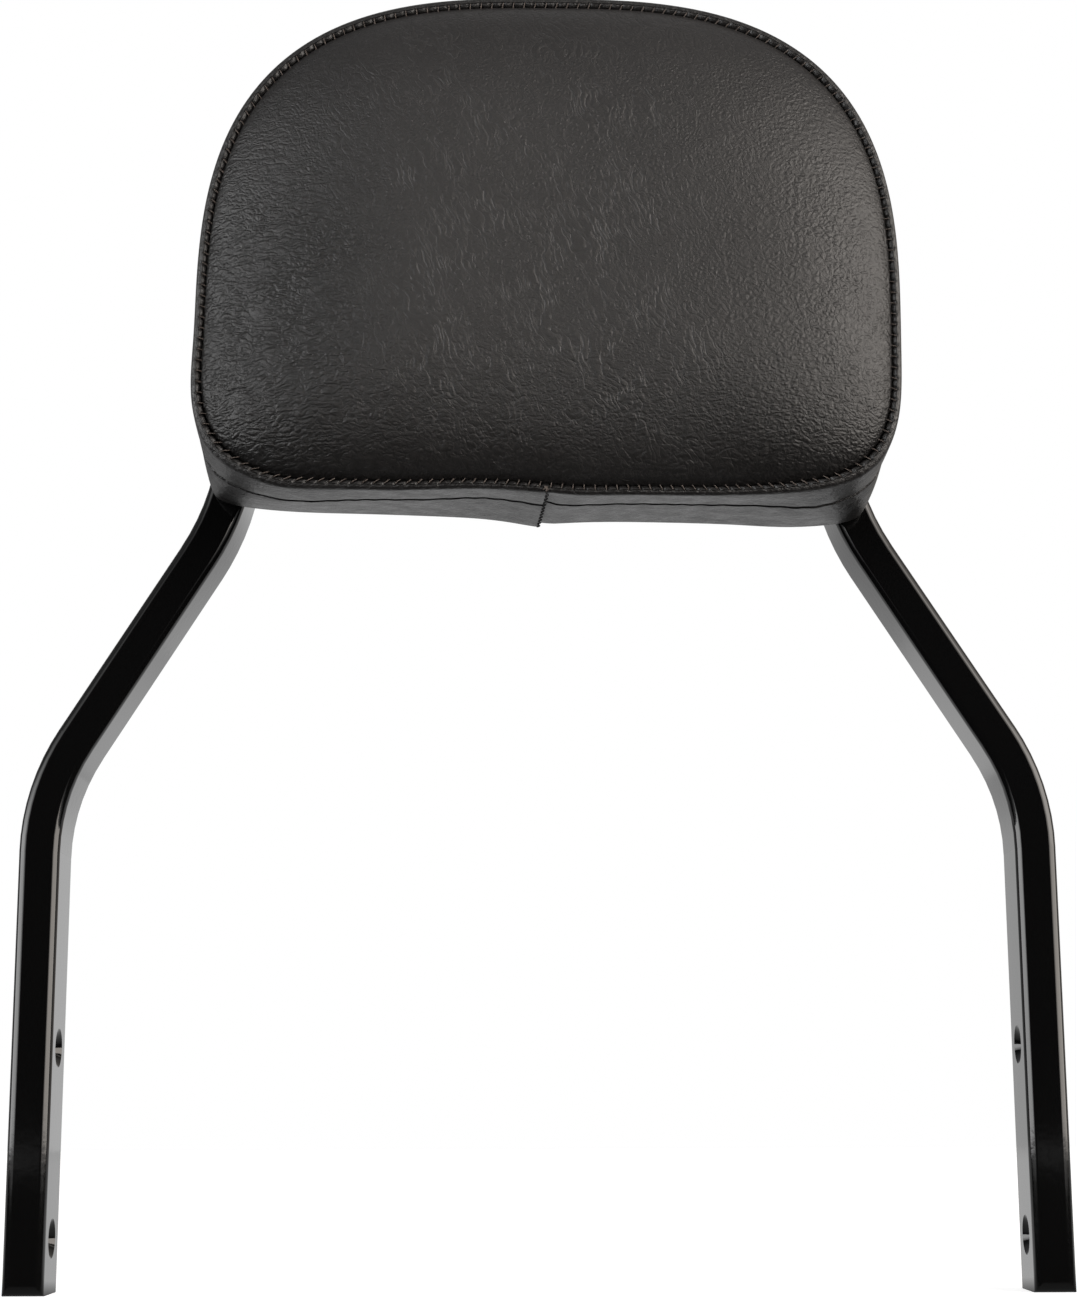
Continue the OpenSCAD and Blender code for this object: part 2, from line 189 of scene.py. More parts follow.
class StudioSizes(bpy.types.PropertyGroup):
    """Camera and lamps."""

    distance: FloatProperty(
        name="Distance", description="From the camera to the bar's front face", default=0.846, unit="LENGTH")
    height: FloatProperty(
        name="Height", description="Height of the camera", default=0.0514, unit="LENGTH")
    pitch: FloatProperty(
        name="Pitch", description="How far the camera looks up", default=math.radians(13.3), subtype="ANGLE")
    roll: FloatProperty(
        name="Roll", description="How far the camera is turned about its view", default=math.radians(0.22),
        subtype="ANGLE")
    lens: FloatProperty(
        name="Lens", description="Focal length on a 36 mm frame", default=74.77)
    shift_up: FloatProperty(
        name="Shift", description="Upward shift of the lens, as a share of the frame", default=-0.13)
    face_grid: IntProperty(
        name="Face grid", description="Cells across the pad's face before it is subdivided", default=104)
    dome: FloatProperty(
        name="Dome", description="Strength of the pale dome in front", default=0.28)
    dome_right: FloatProperty(
        name="Dome to the right", description="What the right side adds to the dome", default=5.4)
    dome_left: FloatProperty(
        name="Dome to the left", description="What the left side adds to the dome", default=5.6)
    front_floor: FloatProperty(
        name="Floor in front", description="Strength of the floor before the part in its gloss", default=0.6)
    front_power: FloatProperty(
        name="Front lamp", description="Power of the softbox before and above the part",
        default=0.8, subtype="POWER")
    right_power: FloatProperty(
        name="Right lamp", description="Power of the softbox to the right", default=2.0, subtype="POWER")
    left_power: FloatProperty(
        name="Left lamp", description="Power of the softbox to the left", default=0.8, subtype="POWER")


def pad():
    return bpy.context.scene.backrest_pad


def colours():
    return bpy.context.scene.backrest_colours


def studio():
    return bpy.context.scene.backrest_studio


# Meshes


def enclosed(points, faces):
    """Signed volume under the faces: the sum of each corner triple's product, a sixth of it."""
    a, b, c = points[faces[:, 0]], points[faces[:, 1:-1]], points[faces[:, 2:]]
    return (a[:, None] * np.cross(b, c)).sum() / 6


def mesh_piece(name, points, quads, tris=None, uv=None, material=None, smooth=True, closed=True):
    """One named mesh from arrays of points and faces, riding on the part's one body, faces outwards."""
    mesh = bpy.data.meshes.new(name)
    faces = [np.asarray(f, np.int32) for f in (quads, tris) if f is not None and len(f)]
    if closed and sum(enclosed(points, f) for f in faces) < 0:
        faces = [f[:, ::-1] for f in faces]
    loops = np.concatenate([f.ravel() for f in faces])
    counts = np.concatenate([np.full(len(f), f.shape[1], np.int32) for f in faces])
    mesh.vertices.add(len(points))
    mesh.vertices.foreach_set("co", np.ascontiguousarray(points, np.float32).ravel())
    mesh.loops.add(len(loops))
    mesh.loops.foreach_set("vertex_index", loops)
    mesh.polygons.add(len(counts))
    mesh.polygons.foreach_set("loop_start", np.concatenate([[0], np.cumsum(counts)[:-1]]).astype(np.int32))
    mesh.update(calc_edges=True)
    mesh.polygons.foreach_set("use_smooth", np.full(len(counts), smooth))
    if uv is not None:
        layer = mesh.uv_layers.new(name="UVMap")
        layer.data.foreach_set("uv", np.ascontiguousarray(uv[loops], np.float32).ravel())
    mesh.validate()
    piece = bpy.data.objects.new(name, mesh)
    bpy.context.scene.collection.objects.link(piece)
    if material:
        mesh.materials.append(material)
    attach(piece, "root")
    return piece


def grid_quads(rows, columns, wrap_columns=False):
    """Quads of a grid whose point (r, c) has the number r * columns + c, each row closed where asked."""
    steps = columns if wrap_columns else columns - 1
    r, c = np.meshgrid(np.arange(rows - 1), np.arange(steps), indexing="ij")
    r2, c2 = r + 1, (c + 1) % columns
    return np.stack([r * columns + c, r * columns + c2, r2 * columns + c2, r2 * columns + c], -1).reshape(-1, 4)


def end_fans(rows, columns):
    """Triangles that close both ends of a tube of rings, round two points numbered after the rings."""
    i = np.arange(columns)
    j = (i + 1) % columns
    last, tips = (rows - 1) * columns, rows * columns
    return np.concatenate([np.stack([np.full(columns, tips), j, i], -1),
                           np.stack([np.full(columns, tips + 1), last + i, last + j], -1)])


def repeated(points, faces, copies):
    """The faces of one shape, numbered on for a number of copies."""
    steps = (np.arange(copies) * points)[:, None, None]
    return (faces[None] + steps).reshape(-1, faces.shape[1])


def unit(vectors):
    return vectors / np.linalg.norm(vectors, axis=-1, keepdims=True)


def run_along(points):
    """Length run along a line to each of its points."""
    return np.concatenate([[0], np.cumsum(np.linalg.norm(np.diff(points, axis=0), axis=1))])


# The pad's outline

# Lobes of the cover's outline: degrees, narrowness, and metres outwards at the back and at the front
LOBES = ((191, 0.0072, 0.0, 0.0006), (-21.2, 0.0080, -0.0034, -0.0018), (201, 0.0090, -0.0052, -0.0006))

# Angles at which the outline's lower and upper corners lie, above the widest line
LOW_CORNER, HIGH_CORNER = -0.42, 0.76

# Sag of the underside in millimetres: height, place and width of each bell
FRONT_SAG = ((1.0, -18, 20), (-0.6, 14, 12), (-0.5, 45, 25), (-1.2, -78, 12))
SECOND_SAG = ((1.1, -17, 13), (-0.9, 9, 13), (-1.5, -75, 16), (-1.3, 86, 12))
BACK_SAG = ((-0.6, 78, 14),)
BACK_CUSP, CUSP_WIDTH = -1.9, 14

# The strips' lapped ends: how far the right end runs under, what both ends add to the strip's length,
# and the reach of the slant, of the left end's lift and of the right end's dip
UNDERLAP, BOTH_LAPS = 0.003, 0.0037
SLANT_REACH, LIFT_REACH, DIP_REACH = 0.012, 0.009, 0.006
DIP_START, DIP_GAP = 0.001, 0.0001

# Gathers along the second seam: their wave and its slow change, in metres, and their height and bias
GATHER_WAVE, GATHER_CHANGE = 0.0071, 0.043
GATHER_HEIGHT, GATHER_BIAS = 0.00011, 0.00008

# Thickness of the threads in the front, second and closing seams, and of the knot, as radii
FRONT_THREAD, SECOND_THREAD, CLOSING_THREAD, KNOT_THREAD = 0.00017, 0.00022, 0.0002, 0.00021

# Outline of the solids: drop below the widest line, and how much narrower it is at the back
SOLID_DROP = 0.0545
SOLID_NARROWING = 0.002


def middle():
    """Height of the pad's widest line, a set drop above the strip's lowest point."""
    return STRIP_LOW.z + SOLID_DROP


def superellipse(angle, width, height, n):
    """Radius r at an angle: (|cos|/width)^n + (|sin|/height)^n = r^-n."""
    return ((np.abs(np.cos(angle)) / width) ** n + (np.abs(np.sin(angle)) / height) ** n) ** (-1 / n)


def solid_radius(angle, inset, depth):
    """Outline of the solids: power 2.9 above, 9 to 5.2 below, and narrower behind the second seam."""
    narrow = inset + SOLID_NARROWING * (1 - np.clip(depth / pad().second_seam, 0, 1))
    up = np.sin(angle) >= 0
    height = np.where(up, STRIP_HIGH.z - middle(), SOLID_DROP) - narrow
    n = np.where(up, 2.9, 9.0 - 3.8 * np.clip(depth / pad().seam_depth, 0, 1))
    return superellipse(angle, STRIP_HIGH.x - narrow, height, n)


def bell(x, centre, width):
    """Bell curve: e to the minus square of the distance over the width."""
    return np.exp(-((x - centre) / width) ** 2)


def outline_radius(angle, inset, depth):
    """Outline of the cover: a superellipse with its own power and height in each quarter.

    Its lower corners are drawn in above their bends and its left side let out, by lobes of e to the
    cosine of the angle from each.
    """
    p = pad()
    t = np.clip(depth / p.seam_depth, 0, 1)
    up, left = np.sin(angle) >= 0, np.cos(angle) < 0
    knots = (0.0, p.second_seam / p.seam_depth, 1.0)
    low = np.where(left, np.interp(t, knots, (p.round_left_back, p.round_left_seam, p.round_left)),
                   np.interp(t, knots, (p.round_right_back, p.round_right_seam, p.round_right)))
    high = STRIP_HIGH.z + 0.0003 - 0.001 * (1 - t) - middle()
    height = np.where(up, high, p.drop_back + (p.drop_front - p.drop_back) * t) - inset
    n = np.where(up, p.round_high, low)
    r = superellipse(angle, STRIP_HIGH.x - inset, height, n)
    return r + sum((back + (front - back) * t) * np.exp((np.cos(angle - math.radians(at)) - 1) / narrowness)
                   for at, narrowness, back, front in LOBES)


def askew(x, z, depth):
    """The cover sits turned and slid: more turned at its back, more slid at its front."""
    p = pad()
    t = np.clip(depth / p.seam_depth, 0, 1)
    turn = p.turn_back + (p.turn_front - p.turn_back) * t
    slide = p.slide_back + (p.slide_front - p.slide_back) * t
    dz = z - middle()
    return x * np.cos(turn) - dz * np.sin(turn) + slide, middle() + x * np.sin(turn) + dz * np.cos(turn)


def bells(x, table):
    """Sum of bell curves, each with its height, place and width."""
    return sum(height * bell(x, centre, width) for height, centre, width in table)


def hang(x, depth):
    """Sag of the underside in metres: sums of bells at the front and second seams, a cusp at the back edge.

    The strips' two ends meet near x = 0, and the seams bend most there.
    """
    mm = x / MM
    front, second = bells(mm, FRONT_SAG), bells(mm, SECOND_SAG)
    back = BACK_CUSP / (1 + (mm / CUSP_WIDTH) ** 2) + bells(mm, BACK_SAG)
    p = pad()
    near = np.clip((depth - p.second_seam) / (p.seam_depth - p.second_seam), 0, 1)
    far = np.clip(depth / p.second_seam, 0, 1)
    return MM * p.hang * np.where(depth > p.second_seam, second + (front - second) * near,
                                  back + (second - back) * far)


def on_pad(angle, inset, depth, share=1.0):
    """Point of the cover at an angle round its widest line, an inset and a depth before the bar.

    The rim is half a millimetre wider at the top, by the fourth power of the sine. A share below 1
    draws the outline in towards a point 20 mm above the widest line.
    """
    p = pad()
    front = np.clip((depth - p.second_seam) / (p.seam_depth - p.second_seam), 0, 1)
    inset = inset + 0.0005 * np.clip(np.sin(angle), 0, 1) ** 4 * smooth_step(inset / p.groove) * front
    r = share * outline_radius(angle, inset, depth)
    x, z = askew(r * np.cos(angle), middle() + 0.020 * (1 - share) + r * np.sin(angle), depth)
    z = z + hang(x, depth) * np.clip(-3 * np.sin(angle), 0, 1) * share ** 6
    return np.stack(np.broadcast_arrays(x, FRONT_Y - depth, z), -1)


def round_the_pad(inset, depth):
    """Angles a little more than once round from the lowest point to the right, and the length run to each."""
    fine = np.linspace(-math.pi / 2 - 0.3, 1.5 * math.pi + 0.3, 6601)
    run = run_along(on_pad(fine, inset, depth))
    start, end = np.interp([-math.pi / 2, 1.5 * math.pi], fine, run)
    return fine, run - start, end - start


def even_angles(count, inset, depth):
    """Angles at equal steps of length round the outline, from its lowest point round to the right."""
    fine, run, length = round_the_pad(inset, depth)
    return np.interp(np.arange(count) / count * length, run, fine)


def arc(centre, radius, start, end, count):
    """Points of an arc as (inset, depth): angle 0 points outwards and 90 forwards."""
    a = np.radians(np.linspace(start, end, count))
    return np.stack([centre[0] - radius * np.cos(a), centre[1] + radius * np.sin(a)], -1)


def line(start, end, count):
    """Points of a straight stretch as (inset, depth), without its last point."""
    t = np.linspace(0, 1, count, endpoint=False)[:, None]
    return np.asarray(start) * (1 - t) + np.asarray(end) * t


def smooth_step(x):
    """0 to 1 with level ends: x squared times (3 - 2x)."""
    x = np.clip(x, 0, 1)
    return x * x * (3 - 2 * x)


def lap_lift(depth):
    """How proud the left end lies: three tenths of the lap at the front, all of it at the back."""
    p = pad()
    return p.lap * (1 - 0.7 * np.clip(depth / p.seam_depth, 0, 1))


def slant(depth):
    """How far to the right the closing seam has run at a depth: 0.6 mm at the back, none at the front."""
    return 0.0006 * (1 - np.clip(depth / pad().seam_depth, 0, 1))


def strip_round(name, outer, inner, weight, material, pucker, count, crowding):
    """A strip carried once round the outline, its left end lapped over its right one under the pad.

    A point is on_pad(place along the strip, inset, depth). Near its end the left end lifts by the lap
    times e to the minus distance over 9 mm. The right end dips under it by a smooth step. weight says
    how much each place of the section does so, and pucker draws the strip in and out along its seams.
    The steps along the strip are even, but crowded towards both ends by a sine.
    """
    p = pad()
    section = np.concatenate([outer, inner[::-1]])
    weight = np.concatenate([weight(outer), weight(inner)[::-1]])[None]
    u = np.linspace(0, 1, count)[:, None]
    u = u - crowding * np.sin(2 * math.pi * u) / (2 * math.pi)
    fine, run, length = round_the_pad(0.0, p.seam_depth)
    place = -UNDERLAP * weight + (length + BOTH_LAPS * weight) * u
    inset, depth = section[None, :, 0] + 0 * u, section[None, :, 1] + 0 * u
    place = place + slant(depth) * (bell(place, 0, SLANT_REACH) + bell(place, length, SLANT_REACH))
    inset = inset - weight * lap_lift(depth) * np.exp(np.minimum(place - length, 0) / LIFT_REACH)
    dip = 1 - smooth_step((place - DIP_START) / DIP_REACH)
    inset = inset + weight * (p.vinyl + DIP_GAP - lap_lift(depth)) * dip
    draw = pucker(place, inset, depth)
    points = on_pad(np.interp(place, run, fine), inset + draw[0], depth + draw[1])
    along = run_along(section)
    uv = np.stack(np.broadcast_arrays(place, along[None]), -1).reshape(-1, 2)
    columns = len(section)
    end = np.arange(columns)
    caps = np.stack([end[::-1], end + (count - 1) * columns])
    quads = grid_quads(count, columns, wrap_columns=True)
    return mesh_piece(name, points.reshape(-1, 3), quads, caps, uv=uv, material=material)


# Shader groups


def new_group(name, inputs, outputs):
    """An empty shader group. An input starts at a number, or is a vector for None. Outputs are numbers."""
    group = bpy.data.node_groups.new(name, "ShaderNodeTree")
    for label, value in inputs.items():
        kind = "NodeSocketVector" if value is None else "NodeSocketFloat"
        socket = group.interface.new_socket(name=label, in_out="INPUT", socket_type=kind)
        if value is not None:
            socket.default_value = value
    for label in outputs:
        group.interface.new_socket(name=label, in_out="OUTPUT", socket_type="NodeSocketFloat")
    return group, group.nodes.new("NodeGroupInput"), group.nodes.new("NodeGroupOutput")


def add(tree, kind, links=None, **values):
    """A node with plain attributes, numbers on its sockets, and links given by socket name or place."""
    node = tree.nodes.new(kind)
    for key, value in values.items():
        setattr(node, key, value)
    for key, value in (links or {}).items():
        socket = node.inputs[key]
        if isinstance(value, bpy.types.NodeSocket):
            tree.links.new(value, socket)
        else:
            socket.default_value = value
    return node


def maths(tree, operation, a, b=0.0, c=None, clamp=False):
    links = {0: a, 1: b}
    if c is not None:
        links[2] = c
    return add(tree, "ShaderNodeMath", links, operation=operation, use_clamp=clamp).outputs[0]


def times(tree, a, b):
    return maths(tree, "MULTIPLY", a, b)


def vector_maths(tree, operation, links):
    return add(tree, "ShaderNodeVectorMath", links, operation=operation).outputs[0]


def bent_coordinates(group, given, detail, stretch):
    """The coordinates moved about by a noise of the given waves and warp, then stretched."""
    at = given.outputs["Vector"]
    noise = add(group, "ShaderNodeTexNoise", {"Vector": at, "Scale": given.outputs["Waves"], "Detail": detail})
    pull = vector_maths(group, "SUBTRACT", {0: noise.outputs["Color"], 1: (0.5, 0.5, 0.5)})
    reach = vector_maths(group, "SCALE", {0: pull, "Scale": given.outputs["Warp"]})
    bent = vector_maths(group, "ADD", {0: at, 1: reach})
    return vector_maths(group, "MULTIPLY", {0: bent, 1: given.outputs[stretch]})


def crease_group():
    """Creases: distance to the borders of warped, stretched cells, from 0 on a border to 1 on the cell."""
    group, given, out = new_group(
        "creases", {"Vector": None, "Cells": None, "Warp": 0.002, "Waves": 160.0, "Width": 0.12}, ["Value"])
    cells = bent_coordinates(group, given, 3.0, "Cells")
    edge = add(group, "ShaderNodeTexVoronoi", {"Vector": cells, "Scale": 1.0}, feature="DISTANCE_TO_EDGE")
    links = {"Value": edge.outputs["Distance"], "From Max": given.outputs["Width"]}
    value = add(group, "ShaderNodeMapRange", links, interpolation_type="SMOOTHSTEP")
    group.links.new(value.outputs["Result"], out.inputs["Value"])
    return group


def wrinkle_group():
    """Wrinkles: a ridged noise in stretched coordinates, 0 on a sharp crease and 1 on the skin between."""
    group, given, out = new_group(
        "wrinkles", {"Vector": None, "Stretch": None, "Warp": 0.002, "Waves": 120.0, "Sharp": 1.0}, ["Value"])
    long = bent_coordinates(group, given, 2.0, "Stretch")
    swell = add(group, "ShaderNodeTexNoise", {"Vector": long, "Scale": 1.0, "Detail": 1.5, "Roughness": 0.6})
    away = maths(group, "ABSOLUTE", maths(group, "SUBTRACT", swell.outputs["Fac"], 0.5))
    value = maths(group, "POWER", maths(group, "MULTIPLY", away, 7.0, clamp=True), given.outputs["Sharp"])
    group.links.new(value, out.inputs["Value"])
    return group


def zone_group():
    """Where on the face a kind of grain shows: a soft step along X or Z, its edge moved about by a noise."""
    group, given, out = new_group("zone", {"Value": 0.0, "Stray": 0.5, "From": 0.0, "To": 1.0}, ["Mask"])
    moved = maths(group, "MULTIPLY_ADD", given.outputs["Stray"], 0.05, given.outputs["Value"])
    step = add(group, "ShaderNodeMapRange", {"Value": moved, "From Min": given.outputs["From"],
                                             "From Max": given.outputs["To"]}, interpolation_type="SMOOTHSTEP")
    group.links.new(step.outputs["Result"], out.inputs["Mask"])
    return group


def speckle_group():
    """Soft unevenness: a slow noise and a fine noise, each spread between two values."""
    group, given, out = new_group(
        "speckle", {"Vector": None, "Slow": 20.0, "Fine": 600.0, "Low": 0.0, "High": 1.0}, ["Value", "Height"])
    slow, fine = (add(group, "ShaderNodeTexNoise", {"Vector": given.outputs["Vector"],
                                                    "Scale": given.outputs[scale], "Detail": detail})
                  for scale, detail in (("Slow", 3.0), ("Fine", 2.0)))
    both = maths(group, "ADD", times(group, slow.outputs["Fac"], 0.7),
                 times(group, fine.outputs["Fac"], 0.3))
    spread = add(group, "ShaderNodeMapRange", {"Value": both, "From Min": 0.3, "From Max": 0.7,
                                               "To Min": given.outputs["Low"], "To Max": given.outputs["High"]})
    group.links.new(spread.outputs["Result"], out.inputs["Value"])
    group.links.new(fine.outputs["Fac"], out.inputs["Height"])
    return group


def use_group(tree, maker, label, links):
    """A node of a shader group, which its maker makes when it is first asked for."""
    return add(tree, "ShaderNodeGroup", links, node_tree=bpy.data.node_groups.get(label) or maker())


def new_material(name, colour, **values):
    """A Principled material; numbers go on the shader's own sockets."""
    material = bpy.data.materials.new(name)
    material.use_nodes = True
    material.diffuse_color = (*colour, 1.0)
    tree = material.node_tree
    shader = tree.nodes["Principled BSDF"]
    shader.inputs["Base Color"].default_value = (*colour, 1.0)
    for key, value in values.items():
        shader.inputs[key.replace("_", " ")].default_value = value
    at = tree.nodes.new("ShaderNodeTexCoord").outputs["Object"]
    return material, tree, shader, at


def bump(tree, shader, height, strength, distance):
    node = add(tree, "ShaderNodeBump", {"Height": height, "Strength": strength, "Distance": distance})
    tree.links.new(node.outputs["Normal"], shader.inputs["Normal"])


def tinted(tree, shader, mask, colour, low, high):
    """Base colour between two shades of a colour, by a mask."""
    dark, pale = (tuple(shade * c for c in colour) + (1.0,) for shade in (low, high))
    mix = add(tree, "ShaderNodeMix", {0: mask, 6: dark, 7: pale}, data_type="RGBA")
    tree.links.new(mix.outputs[2], shader.inputs["Base Color"])


def uneven_gloss(tree, shader, at, slow, fine, low, high):
    """Roughness that wanders between two values. Gives the fine noise behind it."""
    node = use_group(tree, speckle_group, "speckle",
                     {"Vector": at, "Slow": slow, "Fine": fine, "Low": low, "High": high})
    tree.links.new(node.outputs["Value"], shader.inputs["Roughness"])
    return node.outputs["Height"]


def creases(tree, at, cells, warp, waves, width):
    links = {"Vector": at, "Cells": cells, "Warp": warp, "Waves": waves, "Width": width}
    return use_group(tree, crease_group, "creases", links).outputs["Value"]


def wrinkles(tree, at, stretch, warp, waves, sharp):
    links = {"Vector": at, "Stretch": stretch, "Warp": warp, "Waves": waves, "Sharp": sharp}
    return use_group(tree, wrinkle_group, "wrinkles", links).outputs["Value"]


def zone(tree, value, stray, start, end):
    links = {"Value": value, "Stray": stray, "From": start, "To": end}
    return use_group(tree, zone_group, "zone", links).outputs["Mask"]


def hollow(tree, value, amount, mask=1.0):
    """What a crease takes off the height, or off the base colour as painted shade: amount times mask times (1 -
    value).
    """
    return times(tree, maths(tree, "MULTIPLY_ADD", value, -amount, amount), mask)


def vinyl_face_material():
    """Black grained vinyl of the face, with a fine grain all over.

    Soft wrinkles run across it on the left and along the bottom, pebbles lie on the right and faint pale
    streaks in the middle, each strong in patches, weak between and calmer towards the top. The creases on the
    left, the pebbles' borders and the flat cells at the left and bottom are also darkened in the base colour,
    as painted shade.
    """
    colour = tuple(colours().vinyl)
    material, tree, shader, at = new_material("vinyl_face", colour, Roughness=0.44, IOR=1.5)
    parts = add(tree, "ShaderNodeSeparateXYZ", {0: at})
    x, z = parts.outputs["X"], parts.outputs["Z"]
    slow = add(tree, "ShaderNodeTexNoise", {"Vector": at, "Scale": 32.0, "Detail": 3.0})
    stray = maths(tree, "SUBTRACT", slow.outputs["Fac"], 0.5)
    patchy = add(tree, "ShaderNodeTexNoise", {"Vector": at, "Scale": 75.0, "Detail": 2.0})
    patches = ramp(tree, patchy.outputs["Fac"], 0.38, 0.62, 0.25, 1.0)
    others = ramp(tree, patchy.outputs["Fac"], 0.38, 0.62, 1.0, 0.30)
    calm = ramp(tree, z, STRIP_LOW.z + 0.090, STRIP_LOW.z + 0.135, 1.0, 0.55)
    calmer = ramp(tree, z, STRIP_LOW.z + 0.075, STRIP_LOW.z + 0.115, 1.0, 0.45)
    left = times(tree, zone(tree, x, stray, -0.015, -0.085), calmer)
    right = times(tree, zone(tree, x, stray, 0.035, 0.088), calm)
    low = zone(tree, z, stray, STRIP_LOW.z + 0.060, STRIP_LOW.z + 0.022)
    inner = times(tree, maths(tree, "SUBTRACT", 1.0, left), maths(tree, "SUBTRACT", 1.0, right))
    across = wrinkles(tree, at, (150.0, 150.0, 480.0), 0.0045, 150.0, 0.7)
    pebbles = creases(tree, at, (430.0, 430.0, 560.0), 0.0026, 260.0, 0.42)
    folds = wrinkles(tree, at, (170.0, 170.0, 440.0), 0.006, 110.0, 0.65)
    flat = creases(tree, at, (290.0, 290.0, 680.0), 0.0045, 170.0, 0.30)
    outer = maths(tree, "MAXIMUM", left, times(tree, low, 0.5))
    tilted = add(tree, "ShaderNodeMapping", {"Vector": at, "Rotation": (0.0, 0.45, 0.0)}).outputs[0]
    streaks = wrinkles(tree, tilted, (420.0, 360.0, 130.0), 0.008, 95.0, 0.55)
    skin = creases(tree, at, (700.0, 700.0, 800.0), 0.0016, 420.0, 0.5)
    fine = creases(tree, at, (1700.0, 1700.0, 2000.0), 0.0006, 900.0, 0.5)
    loss = hollow(tree, across, 1.2, left)
    for value, amount, mask in ((pebbles, 1.0, right), (flat, 1.2, times(tree, outer, others)),
                                (folds, 1.0, times(tree, low, patches)),
                                (streaks, 1.3, times(tree, inner, patches)),
                                (skin, 0.85, others), (fine, 0.30, 1.0)):
        loss = maths(tree, "ADD", loss, hollow(tree, value, amount, mask))
    height = maths(tree, "SUBTRACT", 1.0, loss)
    pale_lines = ramp(tree, streaks, 0.0, 0.24, 1.0, 0.0)
    pale = times(tree, times(tree, pale_lines, inner), times(tree, patches, 1.1))
    # Painted shade: the creases of the wrinkles on the left, the pebbles' borders on the right and the flat
    # cells at the left and bottom are darkened in the base colour
    dark = maths(tree, "ADD", hollow(tree, across, 0.8, left), hollow(tree, pebbles, 0.5, right), clamp=True)
    dark = maths(tree, "ADD", dark, hollow(tree, flat, 1.0, outer), clamp=True)
    # Base colour: the painted shade in the creases, lightened along the pale streaks
    crease_shade_and_streaks = maths(tree, "ADD", maths(tree, "SUBTRACT", 0.4, times(tree, dark, 0.4)), pale, clamp=True)
    tinted(tree, shader, crease_shade_and_streaks, colour, 0.45, 1.85)
    uneven_gloss(tree, shader, at, 30.0, 900.0, 0.39, 0.51)
    bump(tree, shader, height, 0.6, 0.00022)
    return material


def vinyl_strip_material():
    """The same vinyl on the strips, by their length and width: low swells, small pebbles, a fine grain."""
    colour = tuple(colours().vinyl)
    material, tree, shader, _ = new_material("vinyl_strips", colour, Roughness=0.40, IOR=1.5)
    at = tree.nodes.new("ShaderNodeTexCoord").outputs["UV"]
    pebbles = creases(tree, at, (520.0, 620.0, 1.0), 0.002, 260.0, 0.40)
    fine = creases(tree, at, (1500.0, 1500.0, 1.0), 0.0008, 800.0, 0.45)
    loss = maths(tree, "ADD", hollow(tree, pebbles, 0.5), hollow(tree, fine, 0.35))
    # Painted shade: the pebbles' borders and the fine grain's creases are darker in the base colour
    tinted(tree, shader, loss, colour, 1.05, 0.6)
    swells = add(tree, "ShaderNodeTexNoise", {"Vector": at, "Scale": 300.0, "Detail": 2.0})
    loss = maths(tree, "MULTIPLY_ADD", swells.outputs["Fac"], 2.2, loss)
    uneven_gloss(tree, shader, at, 160.0, 900.0, 0.33, 0.50)
    bump(tree, shader, maths(tree, "SUBTRACT", 1.0, loss), 0.8, 0.0002)
    return material


def paint_material():
    """Gloss black paint with a faint orange-peel and slightly uneven gloss."""
    material, tree, shader, at = new_material("black_lacquer", tuple(colours().paint), Roughness=0.06, IOR=1.5)
    peel = uneven_gloss(tree, shader, at, 40.0, 420.0, 0.04, 0.08)
    bump(tree, shader, peel, 0.05, 0.00012)
    return material


def zinc_material():
    colour = tuple(colours().zinc)
    material, tree, shader, at = new_material("bright_zinc", colour, Metallic=1.0, Roughness=0.3)
    fleck = uneven_gloss(tree, shader, at, 300.0, 2600.0, 0.22, 0.42)
    tinted(tree, shader, fleck, colour, 0.8, 1.0)
    bump(tree, shader, fleck, 0.12, 0.00005)
    return material


def plywood_material():
    """Plywood: long wood grain on the faces from stretched noise, and plies through the thickness."""
    colour = tuple(colours().board)
    material, tree, shader, at = new_material("bare_plywood", colour, Roughness=0.7)
    long = add(tree, "ShaderNodeMapping", {"Vector": at, "Scale": (18.0, 60.0, 420.0)}).outputs[0]
    figure = add(tree, "ShaderNodeTexNoise", {"Vector": long, "Scale": 1.0, "Detail": 6.0})
    plies = add(tree, "ShaderNodeTexWave", {"Vector": at, "Scale": 95.0, "Distortion": 0.6},
                bands_direction="Y")
    mask = maths(tree, "ADD", times(tree, figure.outputs["Fac"], 0.6),
                 times(tree, plies.outputs["Fac"], 0.4))
    tinted(tree, shader, mask, colour, 0.55, 1.25)
    bump(tree, shader, figure.outputs["Fac"], 0.2, 0.0002)
    return material


def foam_material():
    colour = tuple(colours().foam)
    material, tree, shader, at = new_material("foam_cells", colour, Roughness=0.95)
    cells = add(tree, "ShaderNodeTexVoronoi", {"Vector": at, "Scale": 900.0})
    tinted(tree, shader, cells.outputs["Distance"], colour, 0.6, 1.0)
    bump(tree, shader, cells.outputs["Distance"], 0.7, 0.0006)
    return material


def cloth_material():
    """Plain weave: two crossed waves, the one over the other in turn."""
    colour = tuple(colours().cloth)
    material, tree, shader, at = new_material("woven_cloth", colour, Roughness=0.85)
    across = add(tree, "ShaderNodeTexWave", {"Vector": at, "Scale": 330.0}, bands_direction="X")
    up = add(tree, "ShaderNodeTexWave", {"Vector": at, "Scale": 330.0}, bands_direction="Z")
    weave = times(tree, across.outputs["Fac"], up.outputs["Fac"])
    tinted(tree, shader, weave, colour, 0.4, 1.6)
    bump(tree, shader, weave, 0.6, 0.0002)
    return material


def thread_material(name, colour):
    """Twisted thread: a fine wave along the thread's own length."""
    material, tree, shader, _ = new_material(name, colour, Roughness=0.75)
    uv = tree.nodes.new("ShaderNodeTexCoord").outputs["UV"]
    twist = add(tree, "ShaderNodeTexWave", {"Vector": uv, "Scale": 2.0, "Distortion": 0.4},
                bands_direction="DIAGONAL")
    tinted(tree, shader, twist.outputs["Fac"], colour, 0.5, 1.0)
    bump(tree, shader, twist.outputs["Fac"], 0.5, 0.00006)
    return material


